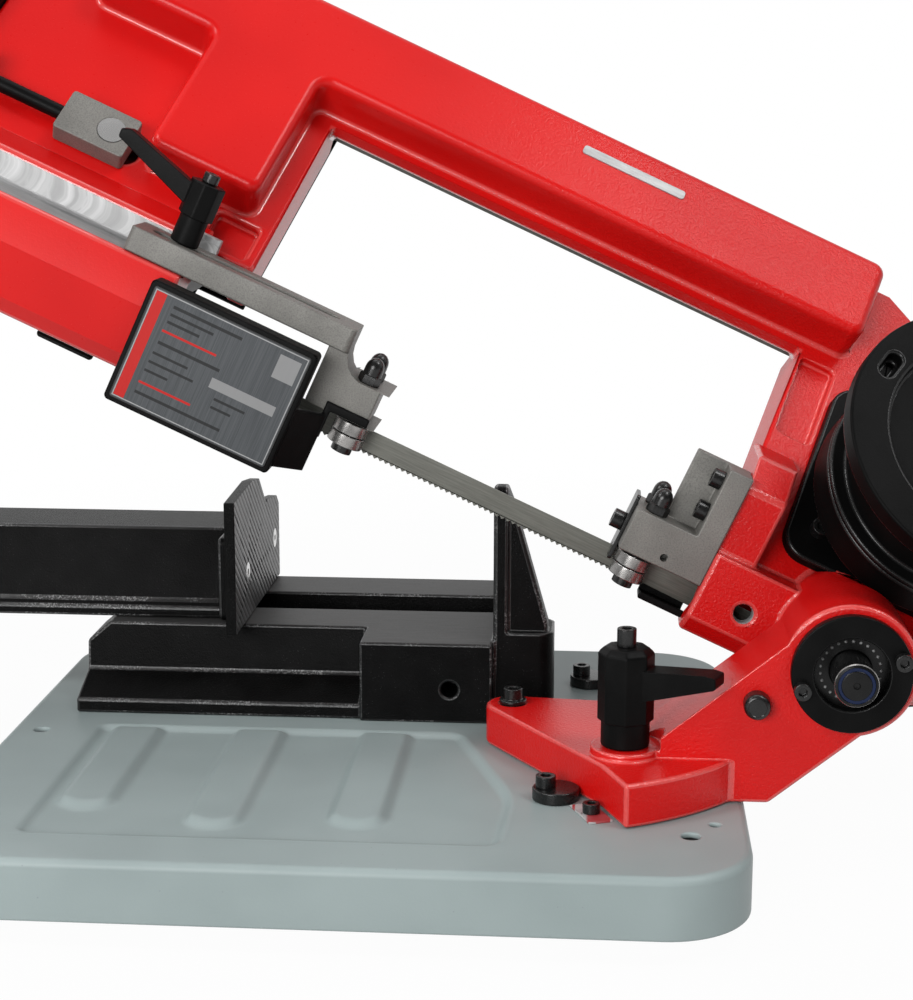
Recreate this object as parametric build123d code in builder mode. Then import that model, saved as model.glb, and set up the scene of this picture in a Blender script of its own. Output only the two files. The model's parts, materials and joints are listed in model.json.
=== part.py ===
import os
from math import atan2, cos, degrees, hypot, pi, radians, sin, tan

from build123d import *

# Metal cutting band saw, millimetres, +Z up, X along the vise, the operator at -Y.
# The origin is on the floor, in the middle of the four bolt-down holes.
# The rest pose has the mitre at 0 degrees and the bow raised.

# Fits
fit_gap = 0.05            # radial gap of a seated pin, bearing or screw
running_gap = 0.08        # radial gap of a turning fit
slide_gap = 0.3           # gap between sliding or swinging faces

# Base tray
base_length = 392.0
base_depth = 372.0
base_corner = 42.0
base_top = 42.0
skirt_bottom = 12.0
sheet = 3.0
base_edge_round = 4.0
bolt_inset_x = 28.0
bolt_inset_y = 54.0
bolt_spacing_x = base_length - 2 * bolt_inset_x
bolt_spacing_y = base_depth - 2 * bolt_inset_y
bolt_hole_d = 9.0
small_hole_d = 5.5
foot_d = 34.0
foot_neck_d = 24.0
panel_depth = 2.5
panel_inset = 46.0
panel_left = panel_inset - base_length / 2
panel_front = -152.0
panel_rear = 14.0
panel_right = 50.0
rib_width = 27.0
rib_pitch = 67.5
rib_count = 3
rib_first_x = panel_left + 23.5
rib_length = 140.0
rib_rise = 3.5

# Vise bed and fixed jaw, set out from the mitre pivot and the rear edge of the base
pivot_inset = 118.0
pivot_x = base_length / 2 - pivot_inset
bed_left = 28.0 - base_length / 2
jaw_face_x = pivot_x - 13.0
ledge_left = jaw_face_x - 73.0
jaw_wall = 8.0
jaw_foot = 33.0
bed_rear = base_depth / 2 - 5.0
slot_rear = bed_rear - 41.0
slot_front = slot_rear - 38.0
way_front = slot_front - 39.0
bed_front = way_front - 33.0
bed_height = 45.0
slot_depth = 27.0
fixed_jaw_height = 131.0
fixed_jaw_fall = 42.0
jaw_foot_depth = 38.0
fixed_jaw_front = bed_front + 8.0
jaw_foot_height = 50.0
gusset_width = 12.0
bed_wall = 8.0
bed_flange_y = bed_front + 3.0
bed_flange_height = 8.0
bed_flange_top = 18.0
bed_bevel = 13.0
bed_hole_d = 9.0

# Moving jaw, its plate and the vise screw
jaw_opening = 142.0
jaw_open_x = jaw_face_x - jaw_opening
jaw_plate_thickness = 6.0
jaw_length = 224.0
jaw_flange_half = 48.0
jaw_flange_height = 6.0
jaw_top_half = 23.5
jaw_height = 48.0
jaw_head = 10.0
jaw_hollow_half = 15.0
jaw_hollow_height = 40.0
jaw_end_wall = 8.0
jaw_rail_depth = 14.0
jaw_rail_inset = 16.0
jaw_plate_peak = 77.0
jaw_plate_front = 85.0
jaw_plate_rear = 62.0
jaw_plate_step = 21.0
jaw_plate_shoulder = 31.0
jaw_plate_lift = 0.3
jaw_plate_screw_half = 46.0
jaw_plate_screw_height = 27.0
vise_screw_d = 16.0
vise_screw_height = 22.0
vise_screw_collar_d = 24.0
vise_screw_reach = 181.0
nut_back = 73.0
nut_left = jaw_open_x - nut_back
nut_length = 20.0
nut_half = 13.0
handwheel_r = 48.0
handwheel_rim_r = 7.0
handwheel_hub_d = 28.0
handwheel_hub_length = 22.0
handwheel_offset = 26.0
grip_pin_d = 8.0
grip_d = 22.0
grip_length = 40.0

# Swivel bracket
pivot_boss_r = 14.0
pivot_pin_d = 12.0
bracket_gap = 0.4
bracket_foot = 22.0
sector_r = 140.0
sector_start = -65.0
sector_end = -35.0
bracket_edge = (47.0, -97.0)
bracket_right = 118.0
toe_left = 95.0
toe_rear = 38.0
mitre_swing = 45.0
hinge_reach = 166.5
hinge_height = 68.0
ear_front = -86.0
ear_depth = 50.0
ear_half = 29.0
ear_slope = 39.0
hinge_boss_r = 33.0
bearing_od = 42.0
bearing_width = 12.0
bearing_inset = 3.0
cap_od = 58.0
cap_id = 36.0
cap_thickness = 6.0
cap_screw_r = 24.8
cap_screw_turn = 18.0
hinge_shaft_d = 20.0
hinge_shaft_front = 22.0
hinge_shaft_socket = 15.0
ear_bolt_x = 44.5
ear_bolt_drop = 16.6
ear_bolt_head_d = 13.0
ear_bolt_head = 9.0
clamp_x = 59.0
clamp_y = -78.0
clamp_boss_r = 17.0
clamp_boss_height = 4.0
clamp_stud_d = 8.0
clamp_hub_d = 24.0
clamp_hub_height = 50.0
clamp_arm_length = 48.0
clamp_arm_turn = -22.0
cam_r = 11.6
cam_thickness = 6.0
cam_offset = 5.0
cam_front_along = 85.5
scale_along = 20.0
scale_length = 26.0
scale_width = 12.0
scale_offset = 16.0
scale_thickness = 1.0

# Bow: blade loop and wheels
bow_angle = 24.85
wheel_lean = 40.0
blade_station = 171.8
hinge_above_blade = 17.3
blade_length = 1470.0
blade_width = 13.0
blade_thickness = 0.65
blade_wheel_gap = 0.3
wheel_d = 168.0
wheel_width = 16.0
wheel_flange = 1.5
wheel_flange_width = 1.0
wheel_web = 6.0
wheel_hub_d = 44.0
drive_u = 191.0
tension_travel = 8.0

# Bow: casting
casting_wall = 3.5
wheel_clearance = 2.5
casting_front = 22.0
casting_inner = 12.0
casting_rear = 16.0
cover_thickness = 2.5
beam_low = 155.0
beam_lip = 6.0
beam_rise = 23.0
beam_top = 216.0
beam_box_low = 163.0
beam_box_right = 128.0
beam_box_front = 48.0
beam_wall = 6.0
upright_left = -181.0
left_arm_end = -208.0
left_arm_top = 50.0
pad_left = -258.0
pad_right = -195.0
pad_low = 80.0
throat_right = 102.5
throat_right_low = 98.0
throat_step = 52.0
arm_front = -30.0
arm_bottom = -17.0
arm_left = -372.0
seat_w = 41.0
seat_front = -24.0
seat_rear = 5.0
seat_wall = 17.0
foot_front = -22.0
foot_right = 150.0
foot_top = 30.0
guide_pad_front = -16.0
guide_pad_right = 120.0
guide_pad_top = 68.0
foot_hole_d = 10.0

# Tension slide and idler
axle_d = 15.0
idler_bearing_od = 32.0
idler_bearing_width = 7.8
slide_half_length = 28.0
slide_ahead = 12.0
slide_half_width = 13.0
slide_thickness = 12.0
tension_rod_d = 8.0
tension_lug_inset = 12.0
tension_lug = 12.0
knob_r = 20.0
knob_length = 20.0

# Blade guides
guide_left_u = -99.0
guide_right_u = 62.0
roller_od = 19.0
roller_bore = 7.0
roller_width = 6.3
roller_stack_gap = 0.4
roller_low = -4.0
roller_gap = 0.3
acorn_hex_r = 7.4
acorn_hex = 6.5
acorn_dome_r = 6.2
acorn_dome_low = 12.0
acorn_height = 17.0
guide_head_low = 10.0
guide_head_high = 30.0
guide_head_half = 20.0
guide_arm_high = 33.0
bar_left = -241.0
bar_right = -115.5
bar_height = 13.0
bar_slot_width = 9.0
web_left = -126.0
lever_u = -215.7
lever_y = -10.0
lever_height = 34.0
lever_collar_r = 7.5
lever_hub_r = 9.5
guard_left = -217.0
guard_right = -126.0
guard_wing_u = -113.0
guard_wing_top = 8.0
guard_low = -28.0
guard_high = 38.0
guard_front = -45.0
guard_wall = 2.5
plate_margin = 2.6
plate_thickness = 0.8
block_flange_left = 85.0
block_flange_high = 71.5
block_web_left = 68.0
block_arm_left = 51.5
wiper_thickness = 2.0
wiper_low = 0.5
wiper_high = 37.5
channel_low = -12.0
channel_left = 73.0

# Gearbox and motor
flange_left = 63.0
flange_right = 70.0
flange_low = 53.0
flange_high = 58.0
flange_thickness = 8.0
flange_corner = 14.0
flange_screw_left = 47.0
flange_screw_right = 60.0
flange_screw_low = 34.0
flange_screw_high = 46.0
gear_neck_r = 46.0
gear_drum_r = 64.0
gear_neck_foot = 6.0
gear_drum_low = 15.0
gear_neck_length = 36.0
gear_wall = 4.0
gear_centre = 30.0
stage_one_module = 0.8
motor_teeth = 12
counter_teeth = 63
stage_two_module = 1.0
counter_pinion_teeth = 15
output_teeth = 45
output_shaft_d = 18.0
motor_r = 56.0
motor_length = 54.0
motor_disc_r = 73.5
motor_disc = 11.0
motor_dish_r = 53.0
motor_dish = 5.0
motor_wall = 4.0
motor_shaft_d = 8.0
vent_r = 62.0
vent_d = 7.5
vent_length = 8.0
vent_depth = 8.0
vent_count = 4

# Handle
handle_left = -474.0
handle_low = 107.0
handle_high = 203.0
handle_depth = 30.0
handle_bar = 20.0
handle_back = 0.0
trigger_width = 14.0
trigger_low = 152.0
trigger_high = 175.0
trigger_travel = 5.0
trigger_out = 9.0

# Screws: head diameter, head height, shank diameter and socket across corners
m6_screw = (10.0, 6.0, 6.0, 5.6)
m5_screw = (8.5, 5.0, 5.0, 4.6)
m8_screw = (13.0, 8.0, 8.0, 7.0)
lever_screw = (8.5, 5.0, 6.0, 4.6)
lever_screw_length = 62.0
top_screw = (9.5, 9.0, 6.0, 5.4)

# Places worked out from the sizes above
bed_top = base_top + bed_height
slot_floor = bed_top - slot_depth
vise_mid = (slot_front + slot_rear) / 2
vise_screw_z = bed_top + vise_screw_height
jaw_low = bed_top + slide_gap
jaw_block_front = jaw_open_x - jaw_plate_thickness
jaw_left = jaw_block_front - jaw_length
bracket_low = base_top + bracket_gap
bracket_top = base_top + bracket_foot
hinge_x = pivot_x + hinge_reach
hinge_z = base_top + hinge_height
ear_rear = ear_front + ear_depth
clamp_seat = bracket_top + clamp_boss_height
toe_right = bracket_right
wheel_r = wheel_d / 2
wheel_e = wheel_r + blade_wheel_gap + blade_thickness / 2
idler_u = drive_u - (blade_length - pi * wheel_d) / 2
housing_r = wheel_r + wheel_clearance + casting_wall
cavity_r = wheel_r + wheel_clearance
housing_low = wheel_e - housing_r
tension_lug_u = idler_u - housing_r + tension_lug_inset
bolt_spots = [
    (side_x * bolt_spacing_x / 2, side_y * bolt_spacing_y / 2)
    for side_x in (-1, 1)
    for side_y in (-1, 1)
]

# Frame of the bow: u along the blade, w square to it in the cutting plane, y as the machine's Y.
# The wheels lean back: e runs up the leaning plane, t stands out of it towards the operator.
along = Vector(cos(radians(bow_angle)), 0, -sin(radians(bow_angle)))
upward = Vector(sin(radians(bow_angle)), 0, cos(radians(bow_angle)))
leaning = Vector(0, -cos(radians(wheel_lean)), 0) + upward * sin(radians(wheel_lean))
hinge_point = Vector(hinge_x, 0, hinge_z)
bow_origin = hinge_point - along * blade_station - upward * hinge_above_blade
wheel_plane = Plane(origin=bow_origin, x_dir=along, z_dir=leaning)
cut_plane = Plane(origin=bow_origin, x_dir=along, z_dir=(0, -1, 0))
flat_plane = Plane(origin=bow_origin, x_dir=along, z_dir=upward)
front_plane = Plane(origin=(0, 0, 0), x_dir=(1, 0, 0), z_dir=(0, -1, 0))


def section_plane(u):
    """Plane square to the blade at station u, with local x along Y and local y along w."""
    return Plane(origin=bow_origin + along * u, x_dir=(0, 1, 0), z_dir=along)


def station(u):
    """Plane square to the blade that faces the handle end, for heads and knobs on that side."""
    return Plane(origin=bow_origin + along * u, x_dir=(0, -1, 0), z_dir=along * -1)


def disc(plane, radius, amount, mode=Mode.ADD, at=(0, 0)):
    """Extrude a circle."""
    with BuildSketch(plane) as profile:
        with Locations(at):
            Circle(radius)
    extrude(profile.sketch, amount=amount, mode=mode)


def ring(plane, outer, inner, amount, at=(0, 0)):
    """Extrude a ring."""
    with BuildSketch(plane) as profile:
        with Locations(at):
            Circle(outer)
            Circle(inner, mode=Mode.SUBTRACT)
    extrude(profile.sketch, amount=amount)


def block(plane, low, high, amount, mode=Mode.ADD, corner=0, taper=0):
    """Extrude a rectangle between two local corners."""
    with BuildSketch(plane) as profile:
        with Locations(((low[0] + high[0]) / 2, (low[1] + high[1]) / 2)):
            Rectangle(high[0] - low[0], high[1] - low[1])
        if corner:
            fillet(profile.vertices(), corner)
    extrude(profile.sketch, amount=amount, mode=mode, taper=taper)


def prism(plane, points, amount, mode=Mode.ADD, corner=0, taper=0):
    """Extrude a closed polygon."""
    with BuildSketch(plane) as profile:
        with BuildLine():
            Polyline(*points, close=True)
        make_face()
        if corner:
            fillet(profile.vertices(), corner)
    extrude(profile.sketch, amount=amount, mode=mode, taper=taper)


def slot(plane, start, end, width, amount, mode=Mode.SUBTRACT):
    """Extrude a round-ended slot between two local points."""
    with BuildSketch(plane) as profile:
        with Locations(((start[0] + end[0]) / 2, (start[1] + end[1]) / 2)):
            run = hypot(end[0] - start[0], end[1] - start[1])
            turn = degrees(atan2(end[1] - start[1], end[0] - start[0]))
            SlotCenterToCenter(run, width, rotation=turn)
    extrude(profile.sketch, amount=amount, mode=mode)


def cap_screw(seat, size, length):
    """Add a socket head screw that sits on a plane, with its head on the plane's outer side."""
    head_d, head_h, shank_d, socket = size
    disc(seat, head_d / 2, head_h)
    disc(seat, shank_d / 2, -length)
    with BuildSketch(seat.offset(head_h)) as key:
        RegularPolygon(socket / 2, 6)
    extrude(key.sketch, amount=-head_h * 0.6, mode=Mode.SUBTRACT)


def screw_hole(seat, size, length):
    """Cut the hole for such a screw."""
    disc(seat, size[2] / 2 + fit_gap, -length, Mode.SUBTRACT)


def facing(point, direction, across=None):
    """Plane at a point that faces a direction."""
    if across is None:
        return Plane(origin=point, z_dir=direction)
    return Plane(origin=point, x_dir=across, z_dir=direction)


def around(centre, radius, angle):
    """Point on a circle, angle in degrees."""
    return (centre[0] + radius * cos(radians(angle)), centre[1] + radius * sin(radians(angle)))


def gear_points(teeth, module, centre, first):
    """Corner points of a gear with straight flanks and free running backlash."""
    pitch_r = teeth * module / 2
    tip_r = pitch_r + 0.75 * module
    root_r = pitch_r - 1.2 * module
    step = 360 / teeth
    points = []
    for tooth in range(teeth):
        middle = first + tooth * step
        points.append(around(centre, root_r, middle - 0.30 * step))
        points.append(around(centre, tip_r, middle - 0.11 * step))
        points.append(around(centre, tip_r, middle + 0.11 * step))
        points.append(around(centre, root_r, middle + 0.30 * step))
    return points


def save(piece, name):
    """Label a finished piece and write it."""
    piece.part.label = name
    export_step(piece.part, f"parts/{name}.step")


os.makedirs("parts", exist_ok=True)

# Seats of the screws that several pieces share
bed_screw_spots = [
    (x, y)
    for x in (bed_left + 30, jaw_face_x - 25)
    for y in ((way_front + slot_front) / 2, (slot_rear + bed_rear) / 2)
]
bed_screw_seats = [facing((x, y, base_top - sheet), (0, 0, -1)) for x, y in bed_screw_spots]
edge_start = (-pivot_boss_r * 0.82, -pivot_boss_r * 0.57)
edge_run = hypot(bracket_edge[0] - edge_start[0], bracket_edge[1] - edge_start[1])
edge_dir = (
    (bracket_edge[0] - edge_start[0]) / edge_run,
    (bracket_edge[1] - edge_start[1]) / edge_run,
)
edge_out = (edge_dir[1], -edge_dir[0])
cam_front_spot = (
    pivot_x + edge_start[0] + edge_dir[0] * cam_front_along + edge_out[0] * (cam_r + slide_gap),
    edge_start[1] + edge_dir[1] * cam_front_along + edge_out[1] * (cam_r + slide_gap),
)
toe_mid = (toe_left + toe_right) / 2
cam_rear_reach = hypot(toe_mid, toe_rear + cam_r + slide_gap)
cam_rear_angle = degrees(atan2(toe_rear + cam_r + slide_gap, toe_mid)) + mitre_swing
cam_rear_spot = around((pivot_x, 0), cam_rear_reach, cam_rear_angle)
cam_front_screw = (cam_front_spot[0] - cam_offset, cam_front_spot[1])
cam_rear_screw = (cam_rear_spot[0] - cam_offset, cam_rear_spot[1])
sector_tip = around((pivot_x, 0), sector_r, sector_start)
scale_mid = (sector_tip[0] - scale_offset, sector_tip[1] + scale_along)
clamp_radius = hypot(clamp_x, clamp_y)
clamp_angle = degrees(atan2(clamp_y, clamp_x))
clamp_spot = (pivot_x + clamp_x, clamp_y)

# Base tray with embossed ribs, bolt holes and the curved slot of the mitre clamp
panel_points = [
    (panel_left, panel_front),
    (panel_left, panel_rear),
    (panel_right, panel_rear),
    (panel_right + 34, panel_rear - 100),
    (panel_right + 30, panel_front),
]
with BuildPart() as base_tray:
    block(
        Plane.XY.offset(skirt_bottom),
        (-base_length / 2, -base_depth / 2),
        (base_length / 2, base_depth / 2),
        base_top - skirt_bottom,
        corner=base_corner,
    )
    fillet(base_tray.faces().sort_by(Axis.Z)[-1].edges(), base_edge_round)
    block(
        Plane.XY.offset(skirt_bottom),
        (-base_length / 2 + sheet, -base_depth / 2 + sheet),
        (base_length / 2 - sheet, base_depth / 2 - sheet),
        base_top - skirt_bottom - sheet,
        Mode.SUBTRACT,
        base_corner - sheet,
    )
    prism(Plane.XY.offset(base_top - sheet), panel_points, -panel_depth, corner=8)
    prism(Plane.XY.offset(base_top), panel_points, -panel_depth, Mode.SUBTRACT, corner=8, taper=40)
    for number in range(rib_count):
        rib_x = rib_first_x + number * rib_pitch
        block(
            Plane.XY.offset(base_top - panel_depth),
            (rib_x - rib_width / 2, panel_front + 8),
            (rib_x + rib_width / 2, panel_front + 8 + rib_length),
            rib_rise,
            corner=5,
            taper=40,
        )
    for spot in bolt_spots:
        disc(Plane.XY.offset(base_top), bolt_hole_d / 2, -sheet, Mode.SUBTRACT, at=spot)
    disc(
        Plane.XY.offset(base_top),
        small_hole_d / 2,
        -sheet,
        Mode.SUBTRACT,
        at=(bolt_spacing_x / 2 + 12, 16 - bolt_spacing_y / 2),
    )
    disc(
        Plane.XY.offset(base_top), 4, -sheet, Mode.SUBTRACT, at=(panel_left - 29, 1)
    )
    disc(Plane.XY.offset(base_top), pivot_pin_d / 2 + fit_gap, -sheet, Mode.SUBTRACT, at=(pivot_x, 0))
    with BuildSketch(Plane.XY.offset(base_top)):
        SlotArc(
            CenterArc((pivot_x, 0), clamp_radius, clamp_angle, mitre_swing),
            clamp_stud_d + 2 * slide_gap,
        )
    extrude(amount=-sheet, mode=Mode.SUBTRACT)
    for seat in bed_screw_seats:
        screw_hole(seat, m8_screw, sheet)
    for spot in (cam_front_screw, cam_rear_screw):
        disc(Plane.XY.offset(base_top), m6_screw[2] / 2 + fit_gap, -sheet, Mode.SUBTRACT, at=spot)
    disc(Plane.XY.offset(base_top), m5_screw[2] / 2 + fit_gap, -sheet, Mode.SUBTRACT, at=scale_mid)
save(base_tray, "base_tray")

# Rubber feet under the bolt holes
with BuildPart() as rubber_feet:
    for spot in bolt_spots:
        disc(Plane.XY, foot_d / 2, skirt_bottom, at=spot)
        disc(Plane.XY, foot_neck_d / 2, base_top - sheet, at=spot)
    for spot in bolt_spots:
        disc(Plane.XY, bolt_hole_d / 2, base_top, Mode.SUBTRACT, at=spot)
save(rubber_feet, "rubber_feet")

# Vise bed with its two ways, the work ledge and the fixed jaw
bed_section = [
    (bed_flange_y, base_top),
    (bed_flange_y, base_top + bed_flange_height),
    (way_front - 3, base_top + bed_flange_top),
    (way_front, bed_top),
    (bed_rear, bed_top),
    (bed_rear, base_top),
]
jaw_back_x = jaw_face_x + jaw_foot
jaw_wall_x = jaw_face_x + jaw_wall
jaw_peak_z = base_top + fixed_jaw_height
pocket_left = bed_left + 50
pocket_right = jaw_face_x - 47
nut_mid_x = nut_left + nut_length / 2
bevel_drop = 11.0
with BuildPart() as vise_bed:
    prism(Plane.YZ.offset(bed_left), bed_section, jaw_wall_x - bed_left)
    block(
        Plane.YZ.offset(ledge_left),
        (bed_front, base_top),
        (way_front + 5, bed_top),
        jaw_face_x - ledge_left,
    )
    prism(
        Plane.YZ.offset(jaw_face_x),
        [
            (fixed_jaw_front, base_top),
            (fixed_jaw_front, jaw_peak_z),
            (fixed_jaw_front + gusset_width, jaw_peak_z),
            (bed_rear, jaw_peak_z - fixed_jaw_fall),
            (bed_rear, base_top),
        ],
        jaw_wall,
        corner=5,
    )
    block(
        Plane.XY.offset(base_top),
        (jaw_face_x, fixed_jaw_front),
        (jaw_back_x, fixed_jaw_front + jaw_foot_depth),
        jaw_foot_height,
        corner=8,
    )
    block(
        Plane.XY.offset(base_top),
        (jaw_face_x, fixed_jaw_front + jaw_foot_depth / 2),
        (jaw_face_x + jaw_foot / 2, bed_rear),
        jaw_foot_height / 2,
        corner=6,
    )
    block(
        Plane.XY.offset(base_top),
        (jaw_face_x - 10, fixed_jaw_front),
        (jaw_wall_x, bed_rear),
        jaw_foot_height - 5,
    )
    prism(
        front_plane.offset(-fixed_jaw_front - 4),
        [
            (jaw_wall_x - 1, jaw_peak_z - 4),
            (jaw_wall_x, jaw_peak_z - 4),
            (jaw_back_x - 17, base_top + jaw_foot_height + 54),
            (jaw_back_x - 3, base_top + jaw_foot_height + 5),
            (jaw_back_x - 3, base_top + jaw_foot_height - 1),
            (jaw_wall_x - 1, base_top + jaw_foot_height - 1),
        ],
        -gusset_width,
    )
    block(
        Plane.YZ.offset(bed_left - 1),
        (slot_front, slot_floor),
        (slot_rear, bed_top + 1),
        jaw_face_x - bed_left + 1,
        Mode.SUBTRACT,
    )
    for low_y, high_y in (
        (way_front + bed_wall, slot_front - bed_wall),
        (slot_rear + bed_wall, bed_rear - bed_wall),
    ):
        block(
            Plane.XY.offset(base_top),
            (pocket_left, low_y),
            (pocket_right, high_y),
            bed_height - bed_wall,
            Mode.SUBTRACT,
            4,
        )
    prism(
        front_plane,
        [
            (bed_left - bed_bevel, bed_top - 2 * bevel_drop),
            (bed_left + 2 * bed_bevel, bed_top + bevel_drop),
            (bed_left - bed_bevel, bed_top + bevel_drop),
        ],
        -bed_rear - 10,
        Mode.SUBTRACT,
    )
    disc(
        front_plane.offset(-bed_front),
        bed_hole_d / 2,
        -25,
        Mode.SUBTRACT,
        at=(jaw_face_x - 23.5, base_top + 19),
    )
    disc(Plane.XY.offset(slot_floor), 6 + fit_gap, -10, Mode.SUBTRACT, at=(nut_mid_x, vise_mid))
    for seat in bed_screw_seats:
        screw_hole(seat, m8_screw, sheet + 22)
save(vise_bed, "vise_bed")

# Screws that hold the bed from below
with BuildPart() as bed_screws:
    for seat in bed_screw_seats:
        cap_screw(seat, m8_screw, sheet + 20)
save(bed_screws, "bed_screws")

# Moving jaw: a long hollow slide with a square head
screw_line = (vise_mid, vise_screw_z)
jaw_top = jaw_low + jaw_height
jaw_section = [
    (vise_mid - jaw_flange_half, jaw_low),
    (vise_mid - jaw_flange_half, jaw_low + jaw_flange_height),
    (vise_mid - jaw_flange_half + 5, jaw_low + jaw_flange_height + 3),
    (vise_mid - jaw_top_half, jaw_top),
    (vise_mid + jaw_top_half, jaw_top),
    (vise_mid + jaw_flange_half - 5, jaw_low + jaw_flange_height + 3),
    (vise_mid + jaw_flange_half, jaw_low + jaw_flange_height),
    (vise_mid + jaw_flange_half, jaw_low),
]
jaw_screw_seats = [
    facing((jaw_open_x, vise_mid + side * jaw_plate_screw_half, jaw_low + jaw_plate_screw_height), (1, 0, 0))
    for side in (-1, 1)
]
with BuildPart() as moving_jaw:
    prism(Plane.YZ.offset(jaw_left), jaw_section, jaw_length)
    block(
        Plane.YZ.offset(jaw_block_front - jaw_head),
        (vise_mid - jaw_flange_half - 6, jaw_low),
        (vise_mid + jaw_flange_half + 6, jaw_top),
        jaw_head,
        corner=4,
    )
    block(
        Plane.YZ.offset(jaw_left + jaw_end_wall),
        (vise_mid - jaw_hollow_half, jaw_low - 1),
        (vise_mid + jaw_hollow_half, jaw_low + jaw_hollow_height),
        jaw_length - jaw_end_wall - jaw_head - 4,
        Mode.SUBTRACT,
    )
    for low_y, high_y in (
        (slot_front + slide_gap, vise_mid - jaw_hollow_half),
        (vise_mid + jaw_hollow_half, slot_rear - slide_gap),
    ):
        block(
            Plane.YZ.offset(bed_left + jaw_rail_inset),
            (low_y, bed_top - jaw_rail_depth),
            (high_y, jaw_low + 2),
            jaw_block_front - 20 - bed_left - jaw_rail_inset,
        )
    disc(
        Plane.YZ.offset(jaw_left - 1),
        vise_screw_d / 2 + running_gap,
        jaw_end_wall + 2,
        Mode.SUBTRACT,
        at=screw_line,
    )
    for seat in jaw_screw_seats:
        screw_hole(seat, m6_screw, jaw_plate_thickness + 10)
save(moving_jaw, "moving_jaw")

# Jaw plate with its stepped top edge
plate_foot = jaw_low + jaw_plate_lift
plate_peak = jaw_low + jaw_plate_peak
plate_notch = plate_peak - jaw_plate_step
plate_outline = [
    (vise_mid - jaw_plate_front, plate_foot),
    (vise_mid - jaw_plate_front, plate_peak - 2),
    (vise_mid - 0.35 * jaw_plate_front, plate_peak),
    (vise_mid - 0.06 * jaw_plate_front, plate_peak - 0.15 * jaw_plate_step),
    (vise_mid + 0.28 * jaw_plate_rear, plate_notch - 1),
    (vise_mid + 0.36 * jaw_plate_rear, plate_notch),
    (vise_mid + 0.88 * jaw_plate_rear, plate_notch - 4),
    (vise_mid + jaw_plate_rear, plate_peak - jaw_plate_shoulder),
    (vise_mid + jaw_plate_rear, plate_foot),
]
countersink_r = 6.0
with BuildPart() as jaw_plate:
    prism(Plane.YZ.offset(jaw_block_front), plate_outline, jaw_plate_thickness)
    for seat in jaw_screw_seats:
        screw_hole(seat, m6_screw, jaw_plate_thickness)
        with BuildSketch(seat) as sink:
            Circle(countersink_r + fit_gap)
        extrude(sink.sketch, amount=-countersink_r / 2, taper=45, mode=Mode.SUBTRACT)
save(jaw_plate, "jaw_plate")

with BuildPart() as jaw_plate_screws:
    for seat in jaw_screw_seats:
        disc(seat.offset(-1), m6_screw[2] / 2, -jaw_plate_thickness - 7)
        with BuildSketch(seat.offset(-fit_gap)) as head:
            Circle(countersink_r - fit_gap)
        extrude(head.sketch, amount=-countersink_r / 2, taper=45)
        with BuildSketch(seat) as key:
            RegularPolygon(2.2, 6)
        extrude(key.sketch, amount=-2.5, mode=Mode.SUBTRACT)
save(jaw_plate_screws, "jaw_plate_screws")

# Vise screw with its two thrust collars
hub_right = jaw_left - handwheel_offset
hub_left = hub_right - handwheel_hub_length
with BuildPart() as vise_screw:
    disc(
        Plane.YZ.offset(hub_left + 3),
        vise_screw_d / 2,
        jaw_left + vise_screw_reach - hub_left - 3,
        at=screw_line,
    )
    disc(
        Plane.YZ.offset(jaw_left + jaw_end_wall + slide_gap),
        vise_screw_collar_d / 2,
        6,
        at=screw_line,
    )
    disc(Plane.YZ.offset(jaw_left - slide_gap), vise_screw_collar_d / 2, -6, at=screw_line)
save(vise_screw, "vise_screw")

# Nut post that stands in the slot of the bed
with BuildPart() as vise_nut:
    block(
        Plane.XY.offset(slot_floor),
        (nut_left, vise_mid - nut_half),
        (nut_left + nut_length, vise_mid + nut_half),
        bed_top + 36 - slot_floor,
        corner=2,
    )
    disc(Plane.XY.offset(slot_floor), 6, -9, at=(nut_mid_x, vise_mid))
    disc(
        Plane.YZ.offset(nut_left - 1),
        vise_screw_d / 2 + running_gap,
        nut_length + 2,
        Mode.SUBTRACT,
        at=screw_line,
    )
save(vise_nut, "vise_nut")

# Handwheel with three spokes and the pin of its grip
rim_x = (hub_left + hub_right) / 2
grip_line = (vise_mid, vise_screw_z + handwheel_r)
grip_right = rim_x - handwheel_rim_r - 1.5
with BuildPart() as handwheel:
    with Locations((rim_x, vise_mid, vise_screw_z)):
        Torus(handwheel_r, handwheel_rim_r, rotation=(0, 90, 0))
    disc(Plane.YZ.offset(hub_left), handwheel_hub_d / 2, handwheel_hub_length, at=screw_line)
    for turn in (90, 210, 330):
        with BuildSketch(Plane.YZ.offset(rim_x - 4)) as spoke:
            with Locations(Location((vise_mid, vise_screw_z, 0), (0, 0, turn))):
                Rectangle(handwheel_r, 10, align=(Align.MIN, Align.CENTER))
        extrude(spoke.sketch, amount=8)
    disc(
        Plane.YZ.offset(hub_left + 2),
        vise_screw_d / 2 + fit_gap,
        handwheel_hub_length,
        Mode.SUBTRACT,
        at=screw_line,
    )
    disc(Plane.YZ.offset(rim_x), grip_pin_d / 2, grip_right - rim_x - grip_length - 1, at=grip_line)
    disc(Plane.YZ.offset(grip_right - grip_length - 0.5), 6.5, -3, at=grip_line)
save(handwheel, "handwheel")

with BuildPart() as handwheel_grip:
    ring(
        Plane.YZ.offset(grip_right - grip_length),
        grip_d / 2,
        grip_pin_d / 2 + running_gap,
        grip_length,
        at=grip_line,
    )
    fillet(handwheel_grip.edges().filter_by(GeomType.CIRCLE).sort_by(SortBy.LENGTH)[-2:], 4)
save(handwheel_grip, "handwheel_grip")

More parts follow.
